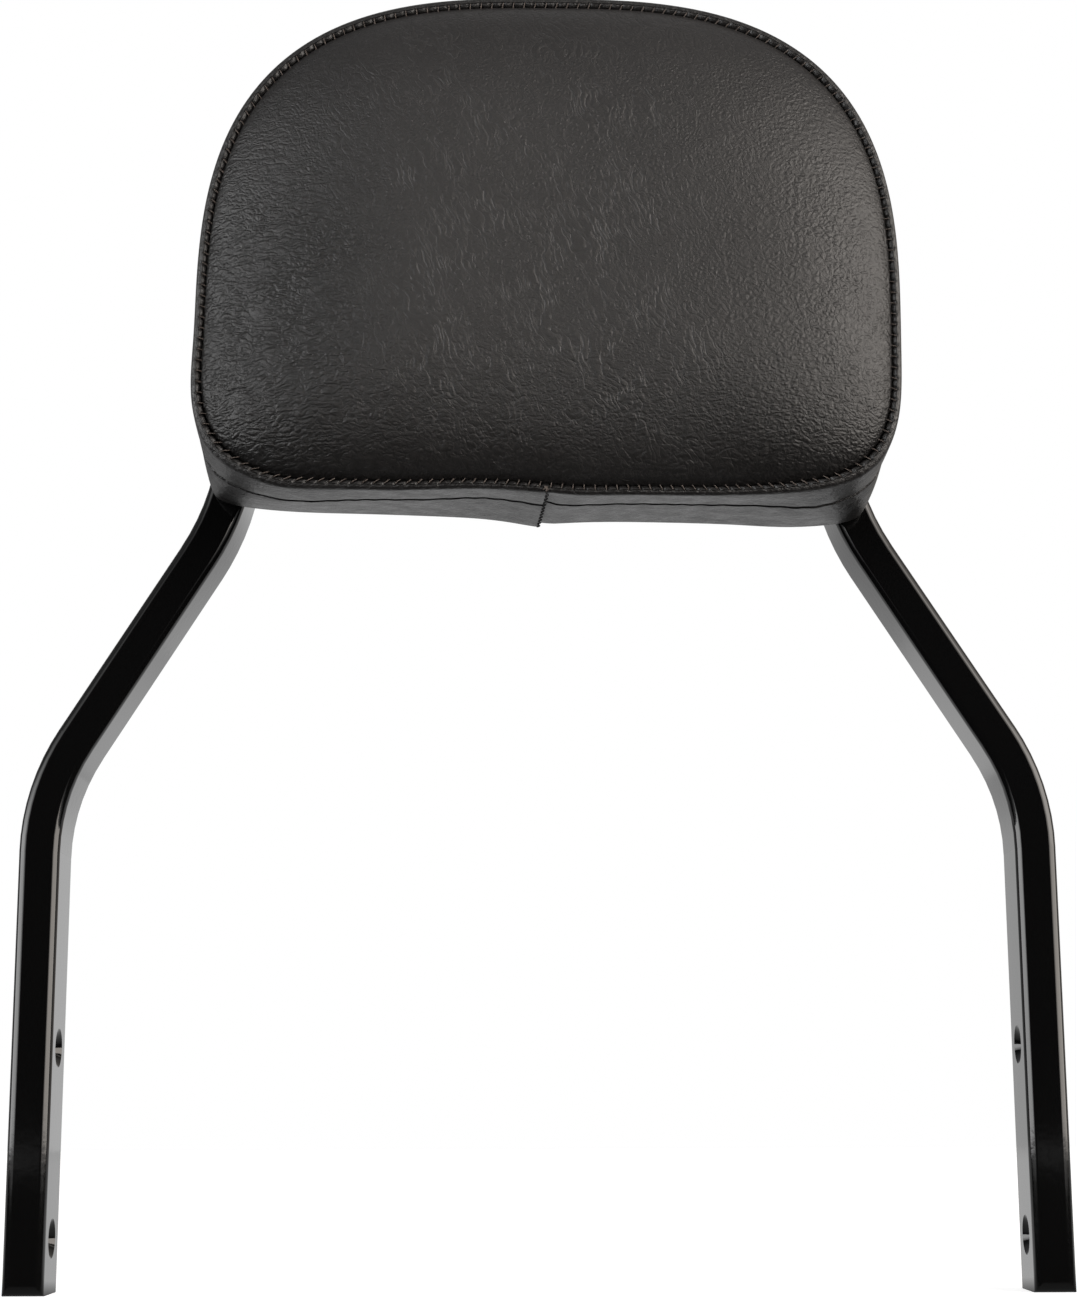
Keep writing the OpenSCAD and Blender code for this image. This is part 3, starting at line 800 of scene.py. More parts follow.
def finish(name):
    """The material of a name, made when it is first asked for."""
    makers = {
        "vinyl_face": vinyl_face_material,
        "vinyl_strips": vinyl_strip_material,
        "black_lacquer": paint_material,
        "bright_zinc": zinc_material,
        "bare_plywood": plywood_material,
        "woven_cloth": cloth_material,
        "foam_cells": foam_material,
        "seam_thread": lambda: thread_material("seam_thread", tuple(colours().thread)),
        "dark_thread": lambda: thread_material("dark_thread", tuple(colours().dark_thread)),
    }
    return bpy.data.materials.get(name) or makers[name]()


# Pad pieces


def face_depth(share):
    """Depth of the face: the groove's floor plus the crown times (1 - share^3) to the power 0.62."""
    p = pad()
    return p.seam_depth - p.sink + (p.dome + p.sink) * (1 - share ** 3) ** 0.62


def face_points(cells):
    """A square grid bent on to the face: the square's rings become rings of the outline.

    A point's ring is the larger of its two grid values, and its angle follows its place along the
    square's edge, so that the square's corners fall on the outline's rounded corners.
    """
    side = np.linspace(-1, 1, cells + 1)
    u, v = np.meshgrid(side, side, indexing="ij")
    ring = np.maximum(np.abs(u), np.abs(v))
    cu, cv = u / np.maximum(ring, 1e-9), v / np.maximum(ring, 1e-9)
    one = 1 - 1e-9
    quarter = np.where((cu >= one) & (cv < one), 0, np.where((cv >= one) & (cu > -one), 1,
                       np.where((cu <= -one) & (cv > -one), 2, 3)))
    along = np.choose(quarter, [(cv + 1) / 2, (1 - cu) / 2, (1 - cv) / 2, (cu + 1) / 2])
    corners = np.array([LOW_CORNER, HIGH_CORNER, math.pi - HIGH_CORNER, math.pi - LOW_CORNER,
                        2 * math.pi + LOW_CORNER])
    fine = np.linspace(corners[0], corners[-1], 4001)
    run = run_along(on_pad(fine, pad().groove, pad().seam_depth))
    angle = np.interp(np.interp(quarter + along, np.arange(5), np.interp(corners, fine, run)), run, fine)
    share = 1 - (1 - ring) ** 1.5
    edge = pad().groove + 0.0001 + pad().groove_gap * (0.7 + 0.3 * np.clip(-3 * np.sin(angle), 0, 1))
    points = on_pad(angle, edge, np.full_like(share, pad().seam_depth), share)
    points[..., 1] = FRONT_Y - face_depth(share)
    return points.reshape(-1, 3), ring.ravel()


def simulate_swell(points, quads, ring):
    """Lets the foam press the face outwards: cloth held at its seam and pressed from behind.

    Each point's move is then averaged with its neighbours' many times, as foam spreads a load, and
    all moves are scaled together so that the furthest is the cap.
    """
    p = pad()
    mesh = bpy.data.meshes.new("swelling")
    mesh.from_pydata(points.tolist(), [], quads.tolist())
    cloth = bpy.data.objects.new("swelling", mesh)
    bpy.context.scene.collection.objects.link(cloth)
    held = cloth.vertex_groups.new(name="held")
    held.add(np.flatnonzero(ring > HELD_RING).tolist(), 1.0, "REPLACE")
    modifier = cloth.modifiers.new("Cloth", "CLOTH")
    settings = modifier.settings
    settings.vertex_group_mass = "held"
    settings.quality = 6
    settings.mass = 0.3
    settings.tension_stiffness = settings.compression_stiffness = 25
    settings.shear_stiffness = 12
    settings.bending_stiffness = 4
    settings.use_pressure = True
    settings.uniform_pressure_force = p.pressure
    settings.air_damping = 8
    settings.effector_weights.gravity = 0
    modifier.collision_settings.use_collision = False
    modifier.point_cache.frame_start, modifier.point_cache.frame_end = 1, SWELL_FRAMES
    scene = bpy.context.scene
    for step in range(1, SWELL_FRAMES + 1):
        scene.frame_set(step)
    solved = cloth.evaluated_get(bpy.context.evaluated_depsgraph_get()).to_mesh()
    after = np.zeros(len(points) * 3, np.float32)
    solved.vertices.foreach_get("co", after)
    bpy.data.objects.remove(cloth)
    scene.frame_set(1)
    side = int(round(math.sqrt(len(points))))
    move = (after.reshape(-1, 3) - points).reshape(side, side, 3)
    for _ in range(SPREADING_PASSES):
        own = move[1:-1, 1:-1]
        around = move[:-2, 1:-1] + move[2:, 1:-1] + move[1:-1, :-2] + move[1:-1, 2:]
        move[1:-1, 1:-1] = 0.5 * own + 0.125 * around
    furthest = np.linalg.norm(move, axis=-1).max()
    return points + (move * min(1.0, p.swell_cap / furthest)).reshape(-1, 3)


class BACKREST_OT_face(bpy.types.Operator):
    """Crowned vinyl face of the pad: a square grid bent on to the outline and swelled by its foam"""

    bl_idname = "backrest.face"
    bl_label = "Pad face"

    def execute(self, context):
        cells = studio().face_grid
        quads = grid_quads(cells + 1, cells + 1)
        points, ring = face_points(cells)
        base = FRONT_Y - pad().seam_depth + pad().sink
        smaller = points.copy()
        smaller[:, 1] = base + FLATTENED * (points[:, 1] - base)
        points = simulate_swell(smaller, quads, ring)
        points[:, 1] = base + (points[:, 1] - base) * (pad().dome + pad().sink) / (base - points[:, 1].min())
        piece = mesh_piece("pad_face_cover", points, quads, material=finish("vinyl_face"),
                           closed=False)
        smooth = piece.modifiers.new("Subdivision", "SUBSURF")
        smooth.levels = smooth.render_levels = 1
        wall = piece.modifiers.new("Solidify", "SOLIDIFY")
        wall.thickness = pad().vinyl
        wall.offset = -1
        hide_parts("pad_face_panel")
        return {"FINISHED"}


def gathers(place, depth, reach):
    """Small gathers along a seam: two sines of the place, one slowing the other, fading over a reach."""
    wave = np.sin(2 * math.pi * place / GATHER_WAVE + 1.7 * np.sin(2 * math.pi * place / GATHER_CHANGE))
    return (GATHER_HEIGHT * wave + GATHER_BIAS) * np.exp(-np.abs(depth - pad().second_seam) / reach)


class BACKREST_OT_border(bpy.types.Operator):
    """Border strip: folded over the front seam, round the edge and back to the second seam"""

    bl_idname = "backrest.border"
    bl_label = "Border strip"

    def execute(self, context):
        p = pad()
        front, second = p.seam_depth, p.second_seam
        floor, roll = front - p.sink - 0.0014, 0.0013
        outer = np.concatenate([
            line((p.groove + 0.0022, floor), (p.groove, floor), 2),
            line((p.groove, floor + 0.0003), (p.groove, front - roll), 3),
            arc((p.groove - roll, front - roll), roll, 180, 92, 9),
            arc((p.corner, front - p.corner), p.corner, 88, 0, 10),
            line((0.0, front - p.corner - 0.001), (0.0, second + 0.0016), 6),
            np.array([[0.0001, second + 0.0012], [0.0003, second + 0.0004], [0.0008, second + 0.0001],
                      [0.0016, second]])])
        inner = np.array([[p.groove + 0.0022, floor - 0.0004], [p.groove - 0.0004, floor - 0.0004],
                          [p.groove - 0.0008, front - 0.0026], [p.vinyl + 0.0003, front - 0.0034],
                          [p.vinyl, front - 0.0050], [p.vinyl + 0.0006, second]])
        pitch = stitch_places()[1]

        def pucker(place, inset, depth):
            """Gathers at the second seam, and the front edge drawn in at each stitch and full between them."""
            at = np.exp(-(((place / pitch) % 1 - 0.5) / 0.17) ** 2)
            edge = smooth_step((inset - 0.0008) / 0.0014) * smooth_step((depth - front + 0.0030) / 0.0014)
            return gathers(place, depth, 0.0022) + edge * (0.00018 - 0.00044 * at), -0.00045 * edge * at

        piece = strip_round("pad_border_cover", outer, inner,
                            lambda path: smooth_step((front - 0.0004 - path[:, 1]) / 0.004),
                            finish("vinyl_strips"), pucker, 1600, 0.45)
        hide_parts("pad_border_strip")
        return {"FINISHED"}


class BACKREST_OT_band(bpy.types.Operator):
    """Side band: from the second seam back, rolled over the board's edge and turned in as a pleated hem"""

    bl_idname = "backrest.band"
    bl_label = "Side band"

    def execute(self, context):
        p = pad()
        second, centre, r = p.second_seam, p.hem_back + p.back_corner, p.back_corner
        outer = np.concatenate([
            np.array([[0.0016, second - 0.0001], [0.0003, second - 0.0001], [-0.0001, second - 0.0002],
                      [-0.0001, second - 0.0005], [-0.0001, second - 0.0010]]),
            line((-0.0001, second - 0.0018), (0.0, second * 0.55), 7),
            line((0.0, second * 0.55), (0.0, centre), 8),
            arc((r, centre), r, 0, -90, 9),
            line((r + 0.0005, p.hem_back), (p.hem_width, p.hem_back), 12),
            np.array([[p.hem_width, p.hem_back]])])
        inner = np.concatenate([
            np.array([[p.vinyl + 0.0008, second - 0.0001], [p.vinyl + 0.0002, second - 0.0022]]),
            line((p.vinyl, centre + 0.001), (p.vinyl, centre), 2),
            arc((r, centre), r - p.vinyl, 0, -90, 5),
            np.array([[p.hem_width, p.hem_back + p.vinyl]])])
        _, _, length = round_the_pad(0.0, p.seam_depth)

        def pucker(place, inset, depth):
            corner = sum(bell(place / length, at, 0.045) for at in (0.16, 0.34, 0.66, 0.84))
            fold = np.sin(math.pi * place / 0.0052 + 0.9 * np.sin(2 * math.pi * place / 0.027)) ** 2
            hem = smooth_step((inset - r) / 0.001) * (0.25 + 0.75 * bell(inset, r + 0.0012, 0.0014))
            return gathers(place, depth, 0.0028), -0.0007 * corner * fold * hem * (depth < second / 2)

        piece = strip_round("pad_band_cover", outer, inner,
                            lambda path: smooth_step((0.0030 - path[:, 0]) / 0.0022),
                            finish("vinyl_strips"), pucker, 1200, 0.75)
        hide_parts("pad_side_band")
        return {"FINISHED"}


def capsule(sides, rings):
    """A thread's stitch: unit length along the first axis, closed at both ends, with its own UV."""
    t = np.linspace(0, 1, rings)
    a = np.arange(sides) / sides * 2 * math.pi
    swell = np.sqrt(np.clip(1 - (2 * t - 1) ** 6, 0.02, 1))
    x = np.repeat((t - 0.5)[:, None], sides, 1)
    y = swell[:, None] * np.cos(a)[None]
    z = swell[:, None] * np.sin(a)[None]
    points = np.stack([x, y, z], -1).reshape(-1, 3)
    points = np.concatenate([points, [[-0.5, 0, 0], [0.5, 0, 0]]])
    uv = np.stack([np.repeat(t, sides), np.tile(a / (2 * math.pi), rings)], -1)
    uv = np.concatenate([uv, [[0, 0], [1, 0]]])
    return points, grid_quads(rings, sides, wrap_columns=True), end_fans(rings, sides), uv


def stitches(name, spots, along, across, length, radius, lift, material):
    """Stitches at spots: each lies along one direction, arched by lift over its middle, away from the pad."""
    shape, quads, tris, uv = capsule(6, 7)
    ahead = unit(along)
    side = unit(np.cross(across, ahead))
    up = np.cross(ahead, side)
    hump = lift * (1 - (2 * shape[:, 0]) ** 2)
    points = (spots[:, None] + ahead[:, None] * (shape[None, :, 0:1] * length)
              + side[:, None] * (shape[None, :, 1:2] * radius)
              + up[:, None] * (shape[None, :, 2:3] * radius + hump[None, :, None]))
    quads, tris = (repeated(len(shape), faces, len(spots)) for faces in (quads, tris))
    return mesh_piece(name, points.reshape(-1, 3), quads, tris, uv=np.tile(uv, (len(spots), 1)),
                      material=material)


def seam_frames(inset, depth, pitch, out_inset, out_depth):
    """Places of stitches round a seam, the direction along it, and the outward direction there."""
    _, _, length = round_the_pad(inset, depth)
    angle = even_angles(int(round(length / pitch)), inset, depth)
    spots = on_pad(angle, inset, depth)
    along = on_pad(angle + 0.004, inset, depth) - on_pad(angle - 0.004, inset, depth)
    away = on_pad(angle, inset + out_inset, depth + out_depth) - spots
    return spots, unit(along), unit(away)


def stitch_places():
    """Places of the front stitches along the outline, at a whole number of even steps, and that step."""
    _, _, length = round_the_pad(0.0, pad().seam_depth)
    count = int(round(length / pad().stitch))
    return (np.arange(count) + 0.5) * length / count, length / count


def closing_spots(places, depths, out):
    """Points along the closing seam, at places to its right and heights above the lapped end."""
    p = pad()
    fine, run, length = round_the_pad(0.0, p.seam_depth)
    return on_pad(np.interp(places + slant(depths), run, fine), -lap_lift(depths) * smooth_step(
        (p.seam_depth - 0.0004 - depths) / 0.004) - out + front_inset(depths), depths)


def front_inset(depth):
    """How far the border's rounded front edge lies inside the outline at a depth."""
    p = pad()
    over = np.clip(depth - (p.seam_depth - p.corner), 0, p.corner)
    return p.corner - np.sqrt(p.corner ** 2 - over ** 2)


class BACKREST_OT_stitching(bpy.types.Operator):
    """Stitches: slanted threads over the front edge, dark ones in the second seam and down the closing seam"""

    bl_idname = "backrest.stitching"
    bl_label = "Stitching"

    def execute(self, context):
        p = pad()
        places, _ = stitch_places()
        fine, run, _ = round_the_pad(0.0, p.seam_depth)
        on_rim = on_pad(np.interp(places - 0.0004, run, fine), p.groove - 0.0011, p.seam_depth - 0.0001)
        on_face = on_pad(np.interp(places + 0.0004, run, fine), p.groove + p.groove_gap + 0.0003,
                         p.seam_depth - 0.0014)
        across = on_rim - on_face
        stitches("front_seam_stitches", (on_rim + on_face) / 2, across, FORWARDS,
                 np.linalg.norm(across, axis=1).mean(), FRONT_THREAD, 0.0003, finish("seam_thread"))
        spots, along, away = seam_frames(0.0008, p.second_seam + 0.0001, p.stitch, -0.001, 0.0)
        stitches("second_seam_stitches", spots, along, away, 0.0026, SECOND_THREAD, 0.0001,
                 finish("dark_thread"))
        count = 22
        depth = np.linspace(p.seam_depth - 0.0016, 0.0045, count)
        side = np.where(np.arange(count) % 2 == 0, 1.0, -1.0)
        beside, above = np.full(count, 0.0005), 0.00005
        spots = closing_spots(beside, depth, above)
        back = unit(closing_spots(beside, depth - 0.0005, above) - spots)
        across = unit(closing_spots(beside + 0.0007, depth, above) - spots)
        away = unit(closing_spots(beside, depth, 0.001) - spots)
        zigzag = back + 0.6 * side[:, None] * across
        stitches("closing_seam_stitches", spots, zigzag, away, 0.0022, CLOSING_THREAD, 0.0001,
                 finish("dark_thread"))
        knot_at = on_pad(np.interp(np.array([-0.0004, 0.0004, 0.0, 0.0002, -0.0002]), run, fine),
                         np.array([0.0011, 0.0011, 0.0016, 0.0008, 0.0013]), p.seam_depth + 0.0001)
        ways = unit(np.array([[1, 0, 0.9], [1, 0, -0.9], [1, 0, 0.1], [0.3, 0, 1], [-0.4, 0, 1]], float))
        stitches("closing_seam_knot", knot_at, ways, FORWARDS, 0.0015, KNOT_THREAD, 0.0002,
                 finish("seam_thread"))
        return {"FINISHED"}


class BACKREST_OT_foam(bpy.types.Operator):
    """Foam block: it fills the cover behind the face and wraps round the board's edge"""

    bl_idname = "backrest.foam"
    bl_label = "Foam block"

    def execute(self, context):
        p = pad()
        count = 240
        angle = even_angles(count, 0.0, p.seam_depth)
        dent = 0.0014 * (bell(np.cos(angle), 0.02, 0.16) * (np.sin(angle) < 0))
        skin = p.vinyl + 0.0007 + dent
        back = 0.0126

        def pocket(depth):
            r = solid_radius(angle, 0.00645, depth)
            return np.stack([r * np.cos(angle), np.full(count, FRONT_Y - depth),
                             middle() + r * np.sin(angle)], -1)

        def behind(share, wrap):
            """Between the pocket's wall and the cover's inside, at the back of the foam's wrap."""
            return pocket(wrap) * (1 - share) + on_pad(angle, skin + 0.0008, wrap) * share

        rings = [pocket(back), pocket(0.0032), behind(0.5, 0.0032), behind(1.0, 0.0036),
                 on_pad(angle, skin, 0.0060), on_pad(angle, skin, p.second_seam),
                 on_pad(angle, skin, p.seam_depth - 0.0055),
                 on_pad(angle, p.groove + 0.0016, p.seam_depth - 0.0055)]
        for share in (0.985, 0.96, 0.92, 0.84, 0.72, 0.55, 0.35, 0.12):
            ring = on_pad(angle, p.groove + 0.0016, np.full(count, p.seam_depth), share)
            ring[:, 1] = FRONT_Y - (face_depth(share) - p.vinyl - 0.0030)
            rings.append(ring)
        points, quads, tris = closed_tube(np.stack(rings))
        piece = mesh_piece("pad_foam_block", points, quads, tris, material=finish("foam_cells"))
        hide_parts("pad_foam")
        return {"FINISHED"}


# Hardware


def sweep(path, normal, section):
    """A closed section carried along an open path: section x follows the normal, y the binormal."""
    ahead = unit(np.gradient(path, axis=0))
    side = unit(normal - (normal * ahead).sum(1, keepdims=True) * ahead)
    up = np.cross(ahead, side)
    return path[:, None] + side[:, None] * section[..., 0:1] + up[:, None] * section[..., 1:2]


def closed_tube(grid):
    """Faces of a grid of rings closed round its section, with a fan at each end."""
    rows, columns = grid.shape[:2]
    points = np.concatenate([grid.reshape(-1, 3), grid[0].mean(0)[None], grid[-1].mean(0)[None]])
    return points, grid_quads(rows, columns, wrap_columns=True), end_fans(rows, columns)


class BACKREST_OT_threads(bpy.types.Operator):
    """Screw thread in each leg hole: a ridge with a V section wound along the hole's wall"""

    bl_idname = "backrest.threads"
    bl_label = "Hole threads"

    def execute(self, context):
        mounts = {m["name"]: m for m in frame["record"]["mounts"]}
        pitch, wall, depth = 0.00125, 0.004, 0.0066
        for name in ("left_leg_bolts", "right_leg_bolts"):
            mount = mounts[name]
            x, y, z = mount["pos_m"]
            gap = mount["dims"]["spacing_y_mm"] * MM / 2
            out = -mount["axis"][0]
            for label, height in (("lower", z - gap), ("upper", z + gap)):
                t = np.arange(0, depth / pitch, 1 / 40)
                a = 2 * math.pi * t
                axis = np.stack([x + out * pitch * t, np.full_like(t, y), np.full_like(t, height)], -1)
                radial = np.stack([np.zeros_like(a), np.cos(a), np.sin(a)], -1)
                path = axis + radial * wall
                ends = np.clip(np.minimum(t, t[-1] - t) * 3, 0.05, 1)[:, None]
                ridge = np.array([[0.0001, -0.00052], [-0.00055, 0.0], [0.0001, 0.00052]])
                points, quads, tris = closed_tube(sweep(path, radial, ridge[None] * ends[..., None]))
                mesh_piece(f"{name.split('_')[0]}_{label}_hole_thread", points, quads, tris,
                           material=finish("black_lacquer"), smooth=False)
        return {"FINISHED"}


def bead(path, towards, start):
    """Rippled weld bead in the corner behind a strap: a rounded fillet, thicker and thinner along it.

    Across, its radius is 3.6 mm at both toes and 3.0 mm between them. Along, each ripple is a steep
    step and a slow fall, and the two ends close over 1.2 mm.
    """
    run = run_along(path)
    phase = (run / 0.00165 + start) % 1
    ripple = 0.00022 * (1 - phase) ** 0.7 * np.minimum(phase * 6, 1)
    close = np.sqrt(np.clip(1 - np.clip(1 - np.minimum(run, run[-1] - run) / 0.0012, 0, 1) ** 2, 0.02, 1))
    a = np.linspace(0, math.pi / 2, 9)
    radius = (0.0036 - 0.00055 * np.sin(2 * a))[None] * close[:, None] + ripple[:, None] * np.sin(2 * a)[None]
    skew = ripple[:, None] * 1.5 * np.sin(2 * a)[None]
    ahead = unit(np.gradient(path, axis=0))
    rim = (path[:, None] + towards[:, None] * (radius * np.cos(a))[..., None]
           + np.array([0.0, 1.0, 0.0]) * (radius * np.sin(a))[..., None] + ahead[:, None] * skew[..., None])
    return np.concatenate([rim, path[:, None] - towards[:, None] * 0.0002], axis=1)


class BACKREST_OT_welds(bpy.types.Operator):
    """Rippled weld beads behind the ends of both straps, over the plain beads of the solids"""

    bl_idname = "backrest.welds"
    bl_label = "Weld beads"

    def execute(self, context):
        back = FRONT_Y + STRAP
        low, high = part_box("lower_cross_strap")
        upper_low, upper_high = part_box("upper_cross_strap")
        corner = math.acos((upper_high.x + STRAP_GAP - CROWN_BEND_X) / CROWN_BEND)
        centre_z = upper_low.z - CROWN_BEND * math.sin(corner)
        count = 180
        for name, side in (("left", -1.0), ("right", 1.0)):
            z = np.linspace(low.z + 0.0012, high.z - 0.0012, count)
            path = np.stack([np.full(count, side * (high.x + STRAP_GAP)), np.full(count, back), z], -1)
            towards = np.tile([[-side, 0.0, 0.0]], (count, 1))
            self.lay(f"{name}_lower_weld_bead", path, towards, 0.3 * side)
            ends = np.arcsin((np.array([upper_low.z + 0.0012, upper_high.z - 0.0012]) - centre_z) / CROWN_BEND)
            a = np.linspace(*ends, count)
            towards = -np.stack([side * np.cos(a), 0 * a, np.sin(a)], -1)
            path = np.stack([side * CROWN_BEND_X - CROWN_BEND * towards[:, 0], np.full(count, back),
                             centre_z + CROWN_BEND * np.sin(a)], -1)
            self.lay(f"{name}_upper_weld_bead", path, towards, 0.1 * side)
        return {"FINISHED"}

    @staticmethod
    def lay(name, path, towards, start):
        points, quads, tris = closed_tube(bead(path, towards, start))
        mesh_piece(name, points, quads, tris, material=finish("black_lacquer"))


class BACKREST_OT_staples(bpy.types.Operator):
    """Staples that hold the back panel: a row of flattened wire crowns just inside its edge"""

    bl_idname = "backrest.staples"
    bl_label = "Back staples"

    def execute(self, context):
        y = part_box("pad_back_panel")[1].y + 0.00012
        count = 26

        def inside(angle):
            r = solid_radius(angle, 0.010, np.zeros_like(angle))
            return np.stack([r * np.cos(angle), np.full_like(angle, y), middle() + r * np.sin(angle)], -1)

        fine = np.linspace(-math.pi / 2, 1.5 * math.pi, 4001)
        run = run_along(inside(fine))
        angle = np.interp((np.arange(count) + 0.5) / count * run[-1], run, fine)
        ahead = inside(angle + 0.01) - inside(angle - 0.01)
        stitches("back_panel_staples", inside(angle), ahead, BACKWARDS, 0.0095, 0.00038, 0.00012,
                 finish("bright_zinc"))
        return {"FINISHED"}


class BACKREST_OT_cad_finishes(bpy.types.Operator):
    """Materials of the solids that stay: paint, plywood, cloth and zinc plate"""

    bl_idname = "backrest.finishes"
    bl_label = "Finishes of the solids"

    def execute(self, context):
        by_slot = {"gloss_black_paint": "black_lacquer", "zinc_plate": "bright_zinc", "plywood": "bare_plywood",
                   "back_cloth": "woven_cloth", "foam": "foam_cells", "black_vinyl": "vinyl_face"}
        slot_of = {s["node"]: s["material_slot"] for s in frame["record"]["subparts"]}
        for name, node in frame["nodes"].items():
            node.data.materials.clear()
            node.data.materials.append(finish(by_slot[slot_of[name]]))
        return {"FINISHED"}


# Studio


def mixed(tree, share, first, second):
    """The first shader where the share is 0 and the second where it is 1."""
    return add(tree, "ShaderNodeMixShader", {0: share, 1: first, 2: second}).outputs[0]


def ramp(tree, value, start, end, low, high):
    return add(tree, "ShaderNodeMapRange", {"Value": value, "From Min": start, "From Max": end, "To Min": low,
                                            "To Max": high}).outputs["Result"]


def bare_tree(owner, output):
    """The emptied node tree of a material or world, with its output and the outputs of a light path."""
    owner.use_nodes = True
    tree = owner.node_tree
    tree.nodes.clear()
    return tree, tree.nodes.new(output), tree.nodes.new("ShaderNodeLightPath").outputs


def floor_material():
    """Pale floor: white to the camera with the part's shadow kept, and white behind the part in its gloss."""
    material = bpy.data.materials.new("pale_floor")
    tree, out, ray = bare_tree(material, "ShaderNodeOutputMaterial")
    matte = add(tree, "ShaderNodeBsdfDiffuse", {"Color": (0.5, 0.5, 0.5, 1.0)}).outputs[0]
    dim = add(tree, "ShaderNodeBsdfDiffuse", {"Color": (0.12, 0.12, 0.12, 1.0)}).outputs[0]
    glow = add(tree, "ShaderNodeEmission", {"Strength": 0.80}).outputs[0]
    lit = add(tree, "ShaderNodeAddShader", {0: matte, 1: glow}).outputs[0]
    at = tree.nodes.new("ShaderNodeTexCoord").outputs["Object"]
    parts = add(tree, "ShaderNodeSeparateXYZ", {0: at})
    aside = maths(tree, "ABSOLUTE", parts.outputs["X"])
    behind = times(tree, ramp(tree, parts.outputs["Y"], 0.0, 0.10, 0.012, 0.86),
                   ramp(tree, aside, 0.30, 1.0, 1.0, 0.65))
    before = times(tree, ramp(tree, parts.outputs["Y"], -0.5, -1.3, 0.0, studio().front_floor),
                   ramp(tree, aside, 0.50, 0.90, 0.0, 1.0))
    mirrored = add(tree, "ShaderNodeEmission", {"Strength": maths(tree, "ADD", behind, before)}).outputs[0]
    see_through = maths(tree, "MAXIMUM", ray["Is Camera Ray"], ray["Is Transmission Ray"])
    shown = mixed(tree, ray["Is Glossy Ray"], mixed(tree, see_through, dim, lit), mirrored)
    tree.links.new(shown, out.inputs["Surface"])
    return material


def studio_world():
    """Studio round the part, by direction. The camera sees white.

    Behind the part it is white, less so to the left. Before it stands a dim dome, bright low down on
    both sides, with a dark opening low in front round the camera.
    """
    world = bpy.data.worlds.new("studio")
    bpy.context.scene.world = world
    tree, out, ray = bare_tree(world, "ShaderNodeOutputWorld")
    direction = tree.nodes.new("ShaderNodeTexCoord").outputs["Generated"]
    parts = add(tree, "ShaderNodeSeparateXYZ", {0: direction})
    x, y, z = (parts.outputs[axis] for axis in "XYZ")
    back = times(tree, ramp(tree, y, 0.0, 0.30, 0.0, 0.97), ramp(tree, x, -0.25, 0.12, 0.64, 1.0))
    aside = maths(tree, "ABSOLUTE", x)
    back = times(tree, back, ramp(tree, aside, 0.19, 0.25, 1.0, 0.45))
    closed = maths(tree, "MAXIMUM", ramp(tree, z, 0.26, 0.36, 0.0, 1.0),
                   ramp(tree, aside, 0.24, 0.40, 0.0, 1.0))
    dome = times(tree, closed, studio().dome)
    right = times(tree, ramp(tree, x, 0.24, 0.55, 0.0, studio().dome_right),
                  ramp(tree, z, 0.36, 0.66, 1.0, 0.0))
    left = times(tree, ramp(tree, x, -0.30, -0.60, 0.0, studio().dome_left),
                 ramp(tree, z, 0.15, 0.42, 1.0, 0.0))
    front = maths(tree, "ADD", dome, maths(tree, "ADD", right, left))
    front = times(tree, front, ramp(tree, y, -0.05, 0.10, 1.0, 0.0))
    strength = maths(tree, "ADD", maths(tree, "MAXIMUM", back, front), 0.006)
    white, warm = (1.0, 1.0, 1.0, 1.0), (1.0, 0.93, 0.86, 1.0)
    warmth = ramp(tree, right, 0.0, 1.0, 0.0, 1.0)
    tint = add(tree, "ShaderNodeMix", {0: warmth, 6: white, 7: warm}, data_type="RGBA")
    room = add(tree, "ShaderNodeBackground", {"Color": tint.outputs[2], "Strength": strength}).outputs[0]
    seen = add(tree, "ShaderNodeBackground", {"Color": white, "Strength": 1.0}).outputs[0]
    tree.links.new(mixed(tree, ray["Is Camera Ray"], room, seen), out.inputs["Surface"])


def softbox(name, location, size, power):
    """Area lamp at a location, aimed at the pad."""
    data = bpy.data.lights.new(name, "AREA")
    data.shape = "RECTANGLE"
    data.size, data.size_y = size
    data.energy = power
    lamp = bpy.data.objects.new(name, data)
    lamp.location = location
    toward = np.array((0, 0, 0.30)) - np.array(location)
    pan = math.atan2(toward[0], toward[1])
    tilt = math.atan2(toward[2], math.hypot(toward[0], toward[1]))
    lamp.rotation_euler = Euler((math.pi / 2 + tilt, 0, -pan))
    bpy.context.scene.collection.objects.link(lamp)


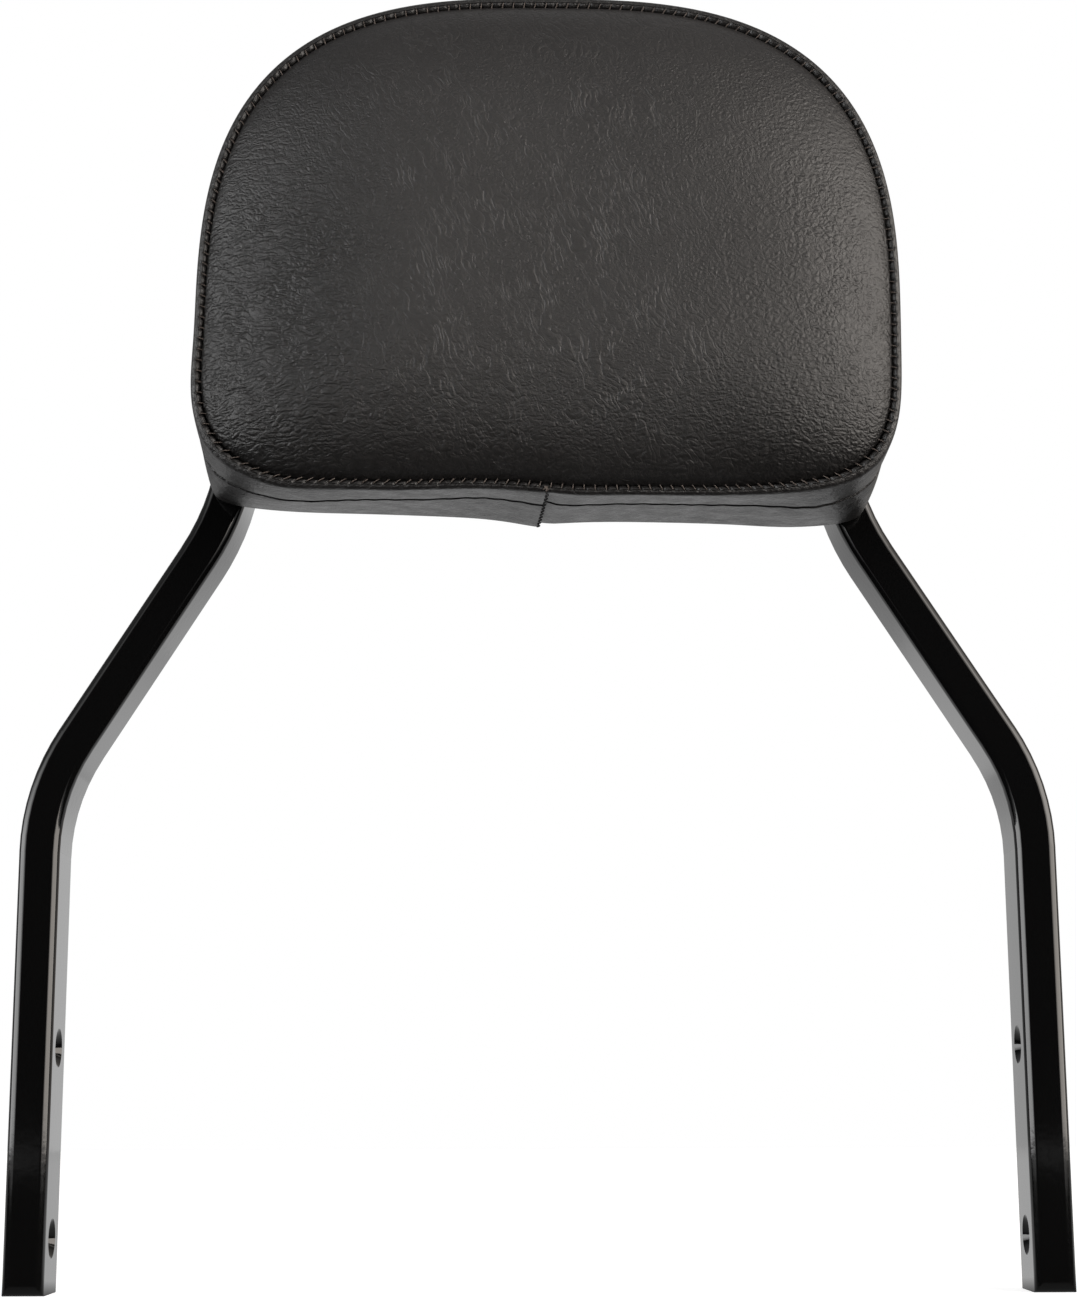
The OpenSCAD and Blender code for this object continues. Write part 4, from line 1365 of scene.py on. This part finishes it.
class BACKREST_OT_studio(bpy.types.Operator):
    """Camera, pale floor, white surroundings and soft lamps"""

    bl_idname = "backrest.studio"
    bl_label = "Studio"

    def execute(self, context):
        s = studio()
        context.scene.view_settings.view_transform = "Standard"
        data = bpy.data.cameras.new("camera")
        data.lens = s.lens
        data.sensor_width = 36.0
        data.sensor_fit = "AUTO"
        data.shift_y = s.shift_up
        data.clip_start = 0.01
        camera = bpy.data.objects.new("camera", data)
        camera.location = (0.0, FRONT_Y - s.distance, s.height)
        camera.rotation_euler = Euler((math.pi / 2 + s.pitch, s.roll, 0.0))
        context.scene.collection.objects.link(camera)
        context.scene.camera = camera
        side = 4.0
        mesh = bpy.data.meshes.new("floor")
        corners = [(-side, -side, 0), (side, -side, 0), (side, side, 0), (-side, side, 0)]
        mesh.from_pydata(corners, [], [(0, 1, 2, 3)])
        mesh.materials.append(floor_material())
        floor = bpy.data.objects.new("floor", mesh)
        context.scene.collection.objects.link(floor)
        studio_world()
        softbox("front_softbox", (0.10, -1.60, 1.32), (1.3, 0.6), s.front_power)
        softbox("right_softbox", (1.15, -0.80, 0.60), (0.9, 0.6), s.right_power)
        softbox("left_softbox", (-1.20, -0.70, 0.55), (0.6, 0.6), s.left_power)
        return {"FINISHED"}


# Panel and registration

OPERATORS = (
    BACKREST_OT_studio,
    BACKREST_OT_cad_finishes,
    BACKREST_OT_face,
    BACKREST_OT_border,
    BACKREST_OT_band,
    BACKREST_OT_foam,
    BACKREST_OT_stitching,
    BACKREST_OT_threads,
    BACKREST_OT_welds,
    BACKREST_OT_staples,
)


class BACKREST_PT_panel(bpy.types.Panel):
    """Panel in the sidebar with every step and the settings"""

    bl_idname = "BACKREST_PT_panel"
    bl_label = "Padded backrest"
    bl_space_type = "VIEW_3D"
    bl_region_type = "UI"
    bl_category = "Backrest"

    def draw(self, context):
        layout = self.layout
        for operator in OPERATORS:
            layout.operator(operator.bl_idname)
        for group in (pad(), colours(), studio()):
            box = layout.box()
            for name in type(group).__annotations__:
                box.prop(group, name)


CLASSES = (PadSizes, FinishColours, StudioSizes, *OPERATORS, BACKREST_PT_panel)


def register():
    for cls in CLASSES:
        bpy.utils.register_class(cls)
    bpy.types.Scene.backrest_pad = PointerProperty(type=PadSizes)
    bpy.types.Scene.backrest_colours = PointerProperty(type=FinishColours)
    bpy.types.Scene.backrest_studio = PointerProperty(type=StudioSizes)


def unregister():
    del bpy.types.Scene.backrest_pad
    del bpy.types.Scene.backrest_colours
    del bpy.types.Scene.backrest_studio
    for cls in reversed(CLASSES):
        bpy.utils.unregister_class(cls)


def main():
    register()
    for operator in OPERATORS:
        group, name = operator.bl_idname.split(".")
        getattr(getattr(bpy.ops, group), name)()


if __name__ == "__main__":
    main()
